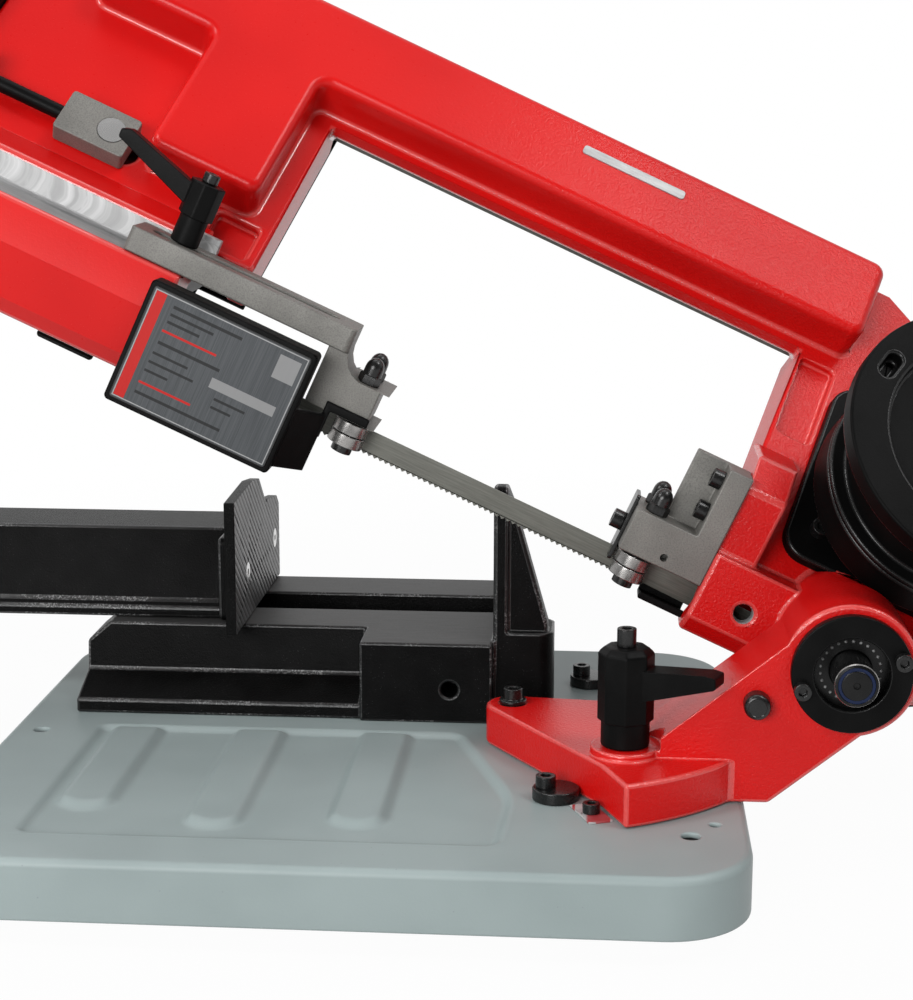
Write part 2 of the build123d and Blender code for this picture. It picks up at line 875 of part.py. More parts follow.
# Swivel bracket: a flat foot that turns on the base and an ear that carries the bow hinge
slope = radians(ear_slope)
ear_high = (hinge_x - ear_half * sin(slope), hinge_z + ear_half * cos(slope))
ear_low = (hinge_x + ear_half * sin(slope), hinge_z - ear_half * cos(slope))
ear_start_x = ear_high[0] - (ear_high[1] - bracket_top) / tan(slope)
ear_end_x = ear_low[0] - (ear_low[1] - bracket_low) / tan(slope)
ear_face = front_plane.offset(-ear_front)
hinge_spot = (hinge_x, hinge_z)
cap_screw_spots = [
    around(hinge_spot, cap_screw_r, cap_screw_turn + half) for half in (0, 180)
]
cap_hole_seats = [facing((x, ear_front, z), (0, -1, 0)) for x, z in cap_screw_spots]
ear_bolt_seat = facing((hinge_x - ear_bolt_x, ear_front, hinge_z - ear_bolt_drop), (0, -1, 0))
edge_first = (pivot_x + edge_start[0], edge_start[1])
sector_last = around((pivot_x, 0), sector_r, sector_end)
with BuildPart() as swivel_bracket:
    with BuildSketch(Plane.XY.offset(bracket_low)):
        with BuildLine():
            Polyline(edge_first, (pivot_x + bracket_edge[0], bracket_edge[1]), sector_tip)
            ThreePointArc(
                sector_tip,
                around((pivot_x, 0), sector_r, (sector_start + sector_end) / 2),
                sector_last,
            )
            Polyline(
                sector_last,
                (pivot_x + bracket_right, sector_last[1] + 0.5),
                (pivot_x + bracket_right, toe_rear),
                (pivot_x + toe_left, toe_rear),
                (pivot_x + 62, 8),
                (pivot_x + 4, pivot_boss_r - 0.6),
                edge_first,
            )
        make_face()
        with Locations((pivot_x, 0)):
            Circle(pivot_boss_r)
    extrude(amount=bracket_foot - bracket_gap)
    prism(
        ear_face,
        [
            (ear_start_x, bracket_top),
            ear_high,
            ear_low,
            (ear_end_x, bracket_low),
            (ear_start_x, bracket_low),
        ],
        -ear_depth,
    )
    disc(ear_face, hinge_boss_r, -ear_depth, at=hinge_spot)
    disc(Plane.XY.offset(bracket_top - 1), clamp_boss_r, clamp_boss_height + 1, at=clamp_spot)
    disc(Plane.XY.offset(clamp_seat), clamp_boss_r + 2, 80, Mode.SUBTRACT, at=clamp_spot)
    disc(
        Plane.XY.offset(bracket_low),
        clamp_stud_d / 2 + fit_gap,
        bracket_foot + 10,
        Mode.SUBTRACT,
        at=clamp_spot,
    )
    disc(
        Plane.XY.offset(bracket_low),
        pivot_pin_d / 2 + running_gap,
        bracket_foot,
        Mode.SUBTRACT,
        at=(pivot_x, 0),
    )
    disc(ear_face, bearing_od / 2 + fit_gap, -ear_depth, Mode.SUBTRACT, at=hinge_spot)
    for seat in cap_hole_seats:
        screw_hole(seat, m5_screw, 12)
    screw_hole(ear_bolt_seat, m8_screw, 30)
save(swivel_bracket, "swivel_bracket")

# Pivot screw of the bracket with its shoulder, washer and nut
pivot_at = (pivot_x, 0)
washer_low = bracket_top + slide_gap
with BuildPart() as pivot_screw:
    disc(Plane.XY.offset(base_top - sheet), pivot_pin_d / 2, washer_low + sheet - base_top, at=pivot_at)
    disc(Plane.XY.offset(base_top - sheet), 10, -8, at=pivot_at)
    disc(Plane.XY.offset(washer_low), 7.2, 2, at=pivot_at)
    cap_screw(facing((pivot_x, 0, washer_low + 2), (0, 0, 1)), m6_screw, 1)
save(pivot_screw, "pivot_screw")

# Clamp lever of the mitre swivel, its top screw and its stud
lever_low = clamp_seat + slide_gap
lever_high = lever_low + clamp_hub_height
lever_turn = radians(clamp_arm_turn)
lever_plane = Plane(
    origin=(clamp_spot[0], clamp_spot[1], lever_low),
    x_dir=(cos(lever_turn), sin(lever_turn), 0),
    z_dir=(sin(lever_turn), -cos(lever_turn), 0),
)
lever_top_seat = facing((clamp_spot[0], clamp_spot[1], lever_high), (0, 0, 1))
with BuildPart() as mitre_lever:
    disc(Plane.XY.offset(lever_low), clamp_hub_d / 2, 16, at=clamp_spot)
    with BuildSketch(Plane.XY.offset(lever_low + 13)):
        with Locations(clamp_spot):
            RegularPolygon(clamp_hub_d / 2 + 2, 8)
    extrude(amount=clamp_hub_height - 13)
    chamfer(mitre_lever.faces().sort_by(Axis.Z)[-1].edges(), 3)
    prism(
        lever_plane.offset(-7),
        [
            (0, 24),
            (0, 40),
            (12, 40),
            (clamp_arm_length - 5, 42),
            (clamp_arm_length, 41),
            (clamp_arm_length, 35.5),
            (clamp_arm_length - 5, 34),
            (12, 25),
        ],
        14,
    )
    disc(
        Plane.XY.offset(lever_low),
        clamp_stud_d / 2 + running_gap,
        36,
        Mode.SUBTRACT,
        at=clamp_spot,
    )
    screw_hole(lever_top_seat, m6_screw, 12)
save(mitre_lever, "mitre_lever")

with BuildPart() as mitre_lever_screw:
    cap_screw(lever_top_seat, top_screw, 11)
save(mitre_lever_screw, "mitre_lever_screw")

stud_low = base_top - sheet - panel_depth - slide_gap
with BuildPart() as mitre_stud:
    disc(Plane.XY.offset(stud_low), clamp_stud_d / 2, lever_low + 34 - stud_low, at=clamp_spot)
    disc(Plane.XY.offset(base_top - sheet - slide_gap), 10, -8, at=clamp_spot)
save(mitre_stud, "mitre_stud")

# Stop cams of the mitre swivel, eccentric discs on the base
with BuildPart() as stop_cam_front:
    disc(Plane.XY.offset(base_top), cam_r, cam_thickness, at=cam_front_spot)
    disc(
        Plane.XY.offset(base_top),
        m6_screw[2] / 2 + fit_gap,
        cam_thickness,
        Mode.SUBTRACT,
        at=cam_front_screw,
    )
save(stop_cam_front, "stop_cam_front")

with BuildPart() as stop_cam_rear:
    disc(Plane.XY.offset(base_top), cam_r, cam_thickness, at=cam_rear_spot)
    disc(
        Plane.XY.offset(base_top),
        m6_screw[2] / 2 + fit_gap,
        cam_thickness,
        Mode.SUBTRACT,
        at=cam_rear_screw,
    )
save(stop_cam_rear, "stop_cam_rear")

# Angle scale beside the pointer edge of the bracket
tip_run = (sector_tip[0] - pivot_x - bracket_edge[0], sector_tip[1] - bracket_edge[1])
scale_turn = degrees(atan2(tip_run[1], tip_run[0]))
with BuildPart() as angle_scale:
    with BuildSketch(Plane.XY.offset(base_top)):
        with Locations(Location((scale_mid[0], scale_mid[1], 0), (0, 0, scale_turn))):
            Rectangle(scale_length, scale_width)
    extrude(amount=scale_thickness)
    disc(
        Plane.XY.offset(base_top),
        m5_screw[2] / 2 + fit_gap,
        scale_thickness,
        Mode.SUBTRACT,
        at=scale_mid,
    )
save(angle_scale, "angle_scale")

with BuildPart() as stop_screws:
    for spot in (cam_front_screw, cam_rear_screw):
        cap_screw(
            facing((spot[0], spot[1], base_top + cam_thickness), (0, 0, 1)),
            m6_screw,
            cam_thickness + sheet + 3,
        )
    cap_screw(
        facing((scale_mid[0], scale_mid[1], base_top + scale_thickness), (0, 0, 1)),
        m5_screw,
        scale_thickness + sheet + 3,
    )
save(stop_screws, "stop_screws")

# Hinge bearings, their cap and its screws, the ear bolt and the hinge shaft
with BuildPart() as hinge_bearings:
    for front in (ear_front + bearing_inset, ear_rear - bearing_inset - bearing_width):
        ring(
            front_plane.offset(-front),
            bearing_od / 2,
            hinge_shaft_d / 2 + running_gap,
            -bearing_width,
            at=hinge_spot,
        )
save(hinge_bearings, "hinge_bearings")

with BuildPart() as bearing_cap:
    ring(ear_face, cap_od / 2, cap_id / 2, cap_thickness, at=hinge_spot)
    for seat in cap_hole_seats:
        screw_hole(seat, m5_screw, -cap_thickness)
save(bearing_cap, "bearing_cap")

with BuildPart() as cap_screws:
    for seat in cap_hole_seats:
        cap_screw(seat.offset(cap_thickness), m5_screw, cap_thickness + 10)
save(cap_screws, "cap_screws")

with BuildPart() as ear_bolt:
    cap_screw(ear_bolt_seat, (ear_bolt_head_d, ear_bolt_head, 8.0, 7.0), 28)
save(ear_bolt, "ear_bolt")

boss_front = ear_rear + 1.0
with BuildPart() as hinge_shaft:
    disc(
        front_plane.offset(hinge_shaft_front - ear_front),
        hinge_shaft_d / 2,
        ear_front - hinge_shaft_front - boss_front - hinge_shaft_socket,
        at=hinge_spot,
    )
    chamfer(hinge_shaft.faces().sort_by(Axis.Y)[0].edges(), 1)
save(hinge_shaft, "hinge_shaft")

# Bow: places shared by its pieces
wheel_normal = Axis(bow_origin, leaning)
drive_spot = (drive_u, wheel_e)
idler_spot = (idler_u, wheel_e)
housing_left_u = idler_u - housing_r
lean = radians(wheel_lean)


def lean_point(e, t):
    """Y and w of a point given in the leaning plane."""
    return (e * sin(lean) - t * cos(lean), e * cos(lean) + t * sin(lean))


def bow_point(u, y, w):
    """Point of the bow in the machine frame."""
    return bow_origin + along * u + upward * w + Vector(0, y, 0)


def wheel_point(u, e, t):
    """Point of the bow given in the leaning plane."""
    y, w = lean_point(e, t)
    return bow_point(u, y, w)


def bow_outline(plane, low_edge):
    """Outline of the bow: two round wheel housings, the beam and the open throat."""
    shoulder = around(drive_spot, housing_r, 60)
    with BuildSketch(plane) as profile:
        with BuildLine():
            Polyline(
                (idler_u, housing_low),
                (left_arm_end, housing_low),
                (left_arm_end, left_arm_top),
                (upright_left, left_arm_top),
                (upright_left, low_edge),
                (throat_right, low_edge),
                (throat_right, throat_step + 6),
                (throat_right_low, throat_step),
                (throat_right_low, housing_low),
                (drive_u, housing_low),
            )
            ThreePointArc((drive_u, housing_low), (drive_u + housing_r, wheel_e), shoulder)
            Polyline(
                shoulder,
                (beam_box_right + 12, beam_top),
                (housing_left_u + 37, beam_top),
                (housing_left_u, beam_low),
                (housing_left_u, wheel_e),
            )
            ThreePointArc(
                (housing_left_u, wheel_e),
                around(idler_spot, housing_r, 225),
                (idler_u, housing_low),
            )
        make_face()
    return profile.sketch


# Seats on the bow
rod_t = casting_front + slide_gap + slide_thickness / 2
rod_line = lean_point(wheel_e, rod_t)
flange_screw_spots = [
    (drive_u + side_u, wheel_e + side_e)
    for side_u in (-flange_screw_left, flange_screw_right)
    for side_e in (-flange_screw_low, flange_screw_high)
]
flange_screw_seats = [
    facing(wheel_point(u, e, casting_front + flange_thickness), leaning)
    for u, e in flange_screw_spots
]
cover_screw_spots = [
    (upright_left - 9, beam_low - 10),
    (throat_right + 9, beam_low - 6),
    (throat_right_low + 9, throat_step - 27),
    (housing_left_u + 16, beam_low - 1),
    (-120, beam_top - 4),
    (40, beam_top - 4),
]
cover_screw_seats = [
    facing(wheel_point(u, e, -casting_rear - cover_thickness), leaning * -1)
    for u, e in cover_screw_spots
]
guide_pin_y = blade_thickness / 2 + roller_gap + roller_od / 2
block_screw_seats = [
    facing(bow_point(block_flange_left, -11, w), along * -1, (0, -1, 0)) for w in (45, 63)
]
wiper_screw_seat = facing(bow_point(block_arm_left - wiper_thickness, 0, 20), along * -1, (0, -1, 0))
bar_low = seat_w + slide_gap
bar_high = bar_low + bar_height
guide_screw_seat = facing(bow_point(lever_u, lever_y, bar_high + lever_height), upward, along)

# Casting of the bow
raised_points = [
    (housing_left_u + 42, beam_box_low),
    (pad_left, beam_box_low),
    (pad_left, pad_low),
    (pad_right, pad_low),
    (pad_right, beam_box_low),
    (beam_box_right, beam_box_low),
    (beam_box_right, beam_top - 2),
    (housing_left_u + 42, beam_top - 2),
]
arm_section = [
    (seat_front, seat_w),
    (seat_rear, seat_w),
    (seat_rear, seat_w + seat_wall),
    (seat_rear + 21, seat_w + seat_wall + 6),
    (seat_rear + 21, 20),
    (-1, arm_bottom),
    (arm_front + 8, arm_bottom),
    (arm_front, -7.5),
    (arm_front, 28),
]
foot_section = [
    (foot_front, foot_top),
    (foot_front, -6),
    (foot_front + 10, -16),
    (8, -16),
    (25, 10),
    (25, foot_top),
]
pad_section = [
    (guide_pad_front, foot_top - 1),
    (guide_pad_front, guide_pad_top - 2),
    (guide_pad_front + 18, guide_pad_top + 14),
    (40, guide_pad_top + 14),
    (40, foot_top - 1),
]
blade_top_e = 2 * wheel_e
with BuildPart() as bow_frame:
    extrude(bow_outline(wheel_plane.offset(-casting_rear), beam_low), amount=casting_rear + casting_front)
    fillet(bow_frame.faces().sort_by(wheel_normal)[-1].edges(), 2.5)
    prism(
        wheel_plane.offset(casting_front - 5),
        raised_points,
        beam_box_front - casting_front + 5,
        corner=7,
    )
    fillet(bow_frame.faces().sort_by(wheel_normal)[-1].edges(), 5)
    prism(section_plane(arm_left), arm_section, left_arm_end - arm_left)
    prism(section_plane(throat_right_low), foot_section, foot_right - throat_right_low)
    prism(section_plane(throat_right_low), pad_section, guide_pad_right - throat_right_low)
    disc(front_plane.offset(-boss_front), 30, -52, at=hinge_spot)
    block(
        wheel_plane.offset(casting_front - 2),
        (tension_lug_u - tension_lug / 2, wheel_e - 11),
        (tension_lug_u + tension_lug / 2, wheel_e + 11),
        20,
        corner=3,
    )
    block(
        wheel_plane.offset(-casting_rear),
        (-500, -150),
        (340, 300),
        -120,
        Mode.SUBTRACT,
    )
    block(
        wheel_plane.offset(casting_front),
        (drive_u - flange_left - 0.5, wheel_e - flange_low - 0.5),
        (drive_u + flange_right + 0.5, wheel_e + flange_high + 0.5),
        60,
        Mode.SUBTRACT,
        flange_corner,
    )
    disc(
        wheel_plane.offset(casting_front + flange_thickness + gear_neck_foot),
        gear_drum_r + 0.6,
        60,
        Mode.SUBTRACT,
        at=drive_spot,
    )
    prism(
        section_plane(upright_left),
        [
            lean_point(beam_low - 5, casting_front - beam_lip),
            lean_point(beam_low, casting_front - beam_lip),
            lean_point(beam_low + beam_rise, -casting_rear - 0.5),
            lean_point(beam_low - 5, -casting_rear - 0.5),
        ],
        throat_right - upright_left,
        Mode.SUBTRACT,
    )
    inner_depth = casting_rear + casting_inner
    back_plane = wheel_plane.offset(-casting_rear)
    disc(back_plane, cavity_r, inner_depth, Mode.SUBTRACT, at=drive_spot)
    slot(back_plane, idler_spot, (idler_u + tension_travel, wheel_e), 2 * cavity_r, inner_depth)
    block(
        back_plane,
        (idler_u, blade_top_e - 2),
        (drive_u, blade_top_e + 8),
        inner_depth,
        Mode.SUBTRACT,
    )
    block(back_plane, (idler_u, -8), (left_arm_end + 1, 12), inner_depth, Mode.SUBTRACT)
    block(back_plane, (throat_right_low - 1, -8), (foot_right - 8, 12), inner_depth, Mode.SUBTRACT)
    block(back_plane, (foot_right - 10, -3), (drive_u, 12), inner_depth, Mode.SUBTRACT)
    block(
        back_plane,
        (housing_left_u + 50, beam_box_low + beam_wall),
        (beam_box_right - beam_wall, beam_top - 2 - beam_wall),
        casting_rear + beam_box_front - beam_wall,
        Mode.SUBTRACT,
    )
    block(
        wheel_plane.offset(casting_front - 6),
        (upright_left - 31, left_arm_top + 4),
        (upright_left - 7, pad_low - 4),
        8,
        Mode.SUBTRACT,
        3,
    )
    block(
        wheel_plane.offset(casting_front - 5),
        (throat_right + 2.5, wheel_e + 17),
        (drive_u - flange_left - 3, beam_low - 3),
        8,
        Mode.SUBTRACT,
        3,
    )
    disc(wheel_plane, output_shaft_d / 2 + running_gap, casting_front + 2, Mode.SUBTRACT, at=drive_spot)
    slot(wheel_plane, idler_spot, (idler_u + tension_travel, wheel_e), axle_d + 1, casting_front + 2)
    disc(
        section_plane(tension_lug_u - tension_lug),
        tension_rod_d / 2 + running_gap,
        2 * tension_lug,
        Mode.SUBTRACT,
        at=rod_line,
    )
    disc(
        front_plane.offset(-boss_front),
        hinge_shaft_d / 2 + fit_gap,
        -hinge_shaft_socket,
        Mode.SUBTRACT,
        at=hinge_spot,
    )
    disc(cut_plane.offset(-foot_front), foot_hole_d / 2, -16, Mode.SUBTRACT, at=(124, 7))
    for seat in flange_screw_seats:
        screw_hole(seat, m6_screw, flange_thickness + 9)
    for seat in cover_screw_seats:
        screw_hole(seat, m5_screw, cover_thickness + 12)
    for seat in block_screw_seats:
        screw_hole(seat, m6_screw, throat_right_low - block_flange_left + 14)
    screw_hole(guide_screw_seat, lever_screw, lever_screw_length + 2)
save(bow_frame, "bow_frame")

# Rear cover over the wheels and the beam
with BuildPart() as rear_cover:
    extrude(bow_outline(wheel_plane.offset(-casting_rear), beam_low + beam_rise + 3), amount=-cover_thickness)
    block(
        wheel_plane.offset(-casting_rear),
        (left_arm_end - 62, housing_low - 12),
        (left_arm_end - 30, 20),
        -cover_thickness,
        corner=2,
    )
    for seat in cover_screw_seats:
        screw_hole(seat, m5_screw, cover_thickness)
save(rear_cover, "rear_cover")

with BuildPart() as cover_screws:
    for seat in cover_screw_seats:
        cap_screw(seat, m5_screw, cover_thickness + 10)
save(cover_screws, "cover_screws")

# Wheels: a rim with a flange on the operator's side, a web with round openings and a hub
with BuildPart() as drive_wheel:
    ring(wheel_plane.offset(-wheel_width / 2), wheel_r, wheel_r - 7, wheel_width, at=drive_spot)
    ring(
        wheel_plane.offset(wheel_width / 2 - wheel_flange_width),
        wheel_r + wheel_flange,
        wheel_r - 7,
        wheel_flange_width,
        at=drive_spot,
    )
    disc(wheel_plane.offset(-wheel_web / 2), wheel_r - 5, wheel_web, at=drive_spot)
    disc(wheel_plane.offset(-wheel_width / 2), wheel_hub_d / 2, wheel_width, at=drive_spot)
    for number in range(6):
        disc(
            wheel_plane.offset(-wheel_web / 2),
            11,
            wheel_web,
            Mode.SUBTRACT,
            at=around(drive_spot, 46, number * 60),
        )
    disc(
        wheel_plane.offset(-wheel_width / 2),
        output_shaft_d / 2 + fit_gap,
        wheel_width,
        Mode.SUBTRACT,
        at=drive_spot,
    )
save(drive_wheel, "drive_wheel")

with BuildPart() as idler_wheel:
    ring(wheel_plane.offset(-wheel_width / 2), wheel_r, wheel_r - 7, wheel_width, at=idler_spot)
    ring(
        wheel_plane.offset(wheel_width / 2 - wheel_flange_width),
        wheel_r + wheel_flange,
        wheel_r - 7,
        wheel_flange_width,
        at=idler_spot,
    )
    disc(wheel_plane.offset(-wheel_web / 2), wheel_r - 5, wheel_web, at=idler_spot)
    disc(wheel_plane.offset(-wheel_width / 2), wheel_hub_d / 2, wheel_width, at=idler_spot)
    for number in range(6):
        disc(
            wheel_plane.offset(-wheel_web / 2),
            11,
            wheel_web,
            Mode.SUBTRACT,
            at=around(idler_spot, 46, number * 60),
        )
    disc(
        wheel_plane.offset(-wheel_width / 2),
        idler_bearing_od / 2 + fit_gap,
        wheel_width,
        Mode.SUBTRACT,
        at=idler_spot,
    )
save(idler_wheel, "idler_wheel")

with BuildPart() as idler_bearings:
    for low in (-wheel_width / 2, wheel_width / 2 - idler_bearing_width):
        ring(
            wheel_plane.offset(low),
            idler_bearing_od / 2,
            axle_d / 2 + running_gap,
            idler_bearing_width,
            at=idler_spot,
        )
save(idler_bearings, "idler_bearings")

# Blade: a loop over both wheels whose lower run turns upright between the guides
blade_in = wheel_r + blade_wheel_gap
blade_out = blade_in + blade_thickness
left_twist_start = idler_u + 11
left_twist_end = -184.0
right_twist_start = guide_right_u + 13
right_twist_end = drive_u - 4
twist_steps = 6
wheel_turn = 180 - wheel_lean
with BuildPart() as blade:
    with BuildSketch(wheel_plane.offset(-blade_width / 2)):
        with Locations(((idler_u + drive_u) / 2, wheel_e)):
            SlotCenterToCenter(drive_u - idler_u, 2 * blade_out)
            SlotCenterToCenter(drive_u - idler_u, 2 * blade_in, mode=Mode.SUBTRACT)
        with Locations(((left_twist_start + right_twist_end) / 2, 0)):
            Rectangle(right_twist_end - left_twist_start, 20, mode=Mode.SUBTRACT)
    extrude(amount=blade_width)
    block(
        section_plane(left_twist_end),
        (-blade_thickness / 2, -blade_width / 2),
        (blade_thickness / 2, blade_width / 2),
        right_twist_start - left_twist_end,
    )
    for start, end, first, last in (
        (left_twist_start, left_twist_end, wheel_turn, 90),
        (right_twist_start, right_twist_end, 90, wheel_turn),
    ):
        sections = []
        for step in range(twist_steps + 1):
            part_way = step / twist_steps
            with BuildSketch(section_plane(start + (end - start) * part_way)) as slice_of_blade:
                Rectangle(blade_width, blade_thickness, rotation=first + (last - first) * part_way)
            sections.append(slice_of_blade.sketch.face())
        loft(sections)
save(blade, "blade")

# Tension slide that carries the idler axle, and its knob
with BuildPart() as tension_slide:
    block(
        wheel_plane.offset(casting_front + slide_gap),
        (idler_u - slide_half_length, wheel_e - slide_half_width),
        (idler_u + slide_ahead, wheel_e + slide_half_width),
        slide_thickness,
        corner=2,
    )
    disc(
        wheel_plane.offset(casting_front),
        axle_d / 2 + fit_gap,
        slide_thickness + 2,
        Mode.SUBTRACT,
        at=idler_spot,
    )
    disc(
        section_plane(idler_u - slide_half_length - 1),
        tension_rod_d / 2 + running_gap,
        19,
        Mode.SUBTRACT,
        at=rod_line,
    )
save(tension_slide, "tension_slide")

with BuildPart() as idler_axle:
    disc(
        wheel_plane.offset(-wheel_width / 2 - 2),
        axle_d / 2,
        wheel_width / 2 + 2 + casting_front + slide_gap + slide_thickness,
        at=idler_spot,
    )
    disc(wheel_plane.offset(-wheel_width / 2 - slide_gap), 11, -3, at=idler_spot)
save(idler_axle, "idler_axle")

knob_face_u = housing_left_u - 1.5
rod_mirror = (-rod_line[0], rod_line[1])
with BuildPart() as tension_knob:
    disc(
        section_plane(knob_face_u - knob_length / 2),
        tension_rod_d / 2,
        idler_u - slide_half_length + 15 - knob_face_u + knob_length / 2,
        at=rod_line,
    )
    with BuildSketch(station(knob_face_u)) as lobes:
        with Locations(rod_mirror):
            Circle(knob_r - 4)
        with Locations([around(rod_mirror, knob_r - 5, turn * 60) for turn in range(6)]):
            Circle(5)
    extrude(lobes.sketch, amount=knob_length)
    disc(station(knob_face_u), 8, tension_lug_u - tension_lug / 2 - slide_gap - knob_face_u, at=rod_mirror)
save(tension_knob, "tension_knob")

# Left guide: a slotted bar on the milled seat, with the head of the left rollers
with BuildPart() as guide_bar:
    block(
        flat_plane.offset(bar_low),
        (bar_left, seat_front),
        (bar_right, seat_rear - slide_gap),
        bar_height,
        corner=3,
    )
    block(cut_plane.offset(-4), (web_left, guide_head_low), (guide_left_u - 9, guide_head_high), 24)
    block(cut_plane.offset(-4), (web_left, guide_head_low), (bar_right, bar_high), 24)
    prism(
        cut_plane.offset(-4),
        [
            (bar_right - 1, guide_head_high - 1),
            (bar_right - 1, guide_head_high + 13),
            (bar_right, guide_head_high + 13),
            (bar_right + 0.9, guide_head_high + 8.6),
            (bar_right + 3.2, guide_head_high + 4.6),
            (bar_right + 6.6, guide_head_high + 1.7),
            (bar_right + 11, guide_head_high),
            (bar_right + 11, guide_head_high - 1),
        ],
        24,
    )
    block(
        cut_plane.offset(-guide_head_half),
        (guide_left_u - 13, guide_head_low),
        (guide_left_u + 13, guide_head_high),
        2 * guide_head_half,
        corner=2,
    )
    slot(
        flat_plane.offset(seat_w),
        (lever_u - 12, lever_y),
        (web_left - 6, lever_y),
        bar_slot_width,
        bar_height + 2,
    )
    for side in (-1, 1):
        disc(
            flat_plane.offset(guide_head_low - 1),
            roller_bore / 2 + fit_gap,
            guide_head_high - guide_head_low + 2,
            Mode.SUBTRACT,
            at=(guide_left_u, side * guide_pin_y),
        )
save(guide_bar, "guide_bar")

# Clamp lever of the guide bar and the long screw it turns on
guide_lever_low = bar_high + slide_gap
arm_plane = Plane(origin=bow_point(lever_u, lever_y, guide_lever_low), x_dir=along * -1, z_dir=(0, 1, 0))
with BuildPart() as guide_lever:
    disc(flat_plane.offset(guide_lever_low), lever_collar_r, 17, at=(lever_u, lever_y))
    with BuildSketch(flat_plane.offset(guide_lever_low + 15)) as hub:
        with Locations((lever_u, lever_y)):
            RegularPolygon(lever_hub_r, 8)
    extrude(hub.sketch, amount=lever_height - 15 - 2 * slide_gap)
    prism(
        arm_plane.offset(-4.5),
        [(0, 18), (0, 31), (9, 31), (46, 42), (51, 40.5), (51, 36), (9, 20)],
        9,
    )
    disc(
        flat_plane.offset(guide_lever_low - 1),
        lever_screw[2] / 2 + running_gap,
        60,
        Mode.SUBTRACT,
        at=(lever_u, lever_y),
    )
save(guide_lever, "guide_lever")

with BuildPart() as guide_lever_screw:
    cap_screw(guide_screw_seat, lever_screw, lever_screw_length)
save(guide_lever_screw, "guide_lever_screw")

# Blade guard that rides on the left guide, and its bare plate
with BuildPart() as blade_guard:
    block(
        cut_plane.offset(-arm_front + 1.5),
        (guard_left, guard_low),
        (guard_right, guard_high),
        arm_front - 1.5 - guard_front,
        corner=2.5,
    )
    block(
        cut_plane.offset(-arm_front),
        (guard_left + guard_wall, guard_low + guard_wall),
        (guard_right - guard_wall, guard_high - guard_wall),
        arm_front - guard_front - guard_wall,
        Mode.SUBTRACT,
        1.5,
    )
    prism(
        flat_plane.offset(guard_low + 4),
        [
            (guard_right - 2.5, guard_front + 6),
            (guard_right - 2.5, guard_front + 1),
            (guard_right - 1, guard_front + 1),
            (guard_wing_u + 1, -guide_head_half - 1.5),
            (guard_wing_u + 1, -guide_head_half),
            (guard_wing_u - 2, -guide_head_half),
        ],
        guard_wing_top - guard_low - 4,
    )
    block(
        cut_plane.offset(guide_head_half),
        (guard_wing_u - 2, guide_head_low + 0.4),
        (guide_left_u + 8, guide_head_low + 5),
        2.5,
    )
    block(
        cut_plane.offset(guide_head_half),
        (guard_wing_u - 2, guard_wing_top - 12),
        (guard_wing_u + 1.5, guide_head_low + 5),
        2.5,
    )
save(blade_guard, "blade_guard")

with BuildPart() as data_plate:
    block(
        cut_plane.offset(-guard_front),
        (guard_left + plate_margin, guard_low + plate_margin),
        (guard_right - plate_margin, guard_high - plate_margin),
        plate_thickness,
        corner=1.5,
    )
save(data_plate, "data_plate")


def roller_pair(u, y):
    """Two stacked bearings that turn on one guide pin."""
    for number in range(2):
        ring(
            flat_plane.offset(roller_low + number * (roller_width + roller_stack_gap)),
            roller_od / 2,
            roller_bore / 2 + running_gap,
            roller_width,
            at=(u, y),
        )


with BuildPart() as roller_left_front:
    roller_pair(guide_left_u, -guide_pin_y)
save(roller_left_front, "roller_left_front")

with BuildPart() as roller_left_rear:
    roller_pair(guide_left_u, guide_pin_y)
save(roller_left_rear, "roller_left_rear")

with BuildPart() as roller_right_front:
    roller_pair(guide_right_u, -guide_pin_y)
save(roller_right_front, "roller_right_front")

with BuildPart() as roller_right_rear:
    roller_pair(guide_right_u, guide_pin_y)
save(roller_right_rear, "roller_right_rear")


def guide_pin(u, y, top):
    """Headed pin that carries a roller pair."""
    disc(flat_plane.offset(roller_low - slide_gap), 5.5, -4, at=(u, y))
    disc(flat_plane.offset(roller_low - slide_gap), roller_bore / 2, top + 8 - roller_low, at=(u, y))


def acorn_nut(u, y, low):
    """Closed domed nut."""
    with BuildSketch(flat_plane.offset(low)) as hexagon:
        with Locations((u, y)):
            RegularPolygon(acorn_hex_r, 6)
    extrude(hexagon.sketch, amount=acorn_hex)
    disc(flat_plane.offset(low), acorn_dome_r, acorn_dome_low, at=(u, y))
    with BuildSketch(flat_plane.offset(low + acorn_dome_low)) as dome:
        with Locations((u, y)):
            Circle(acorn_dome_r)
    extrude(dome.sketch, amount=acorn_height - acorn_dome_low, taper=30)
    disc(flat_plane.offset(low), roller_bore / 2 + fit_gap, 9, Mode.SUBTRACT, at=(u, y))


with BuildPart() as guide_pins_left:
    for side in (-1, 1):
        guide_pin(guide_left_u, side * guide_pin_y, guide_head_high)
save(guide_pins_left, "guide_pins_left")

with BuildPart() as acorn_nuts_left:
    for side in (-1, 1):
        acorn_nut(guide_left_u, side * guide_pin_y, guide_head_high)
save(acorn_nuts_left, "acorn_nuts_left")

with BuildPart() as guide_pins_right:
    for side in (-1, 1):
        guide_pin(guide_right_u, side * guide_pin_y, guide_arm_high)
save(guide_pins_right, "guide_pins_right")

with BuildPart() as acorn_nuts_right:
    for side in (-1, 1):
        acorn_nut(guide_right_u, side * guide_pin_y, guide_arm_high)
save(acorn_nuts_right, "acorn_nuts_right")

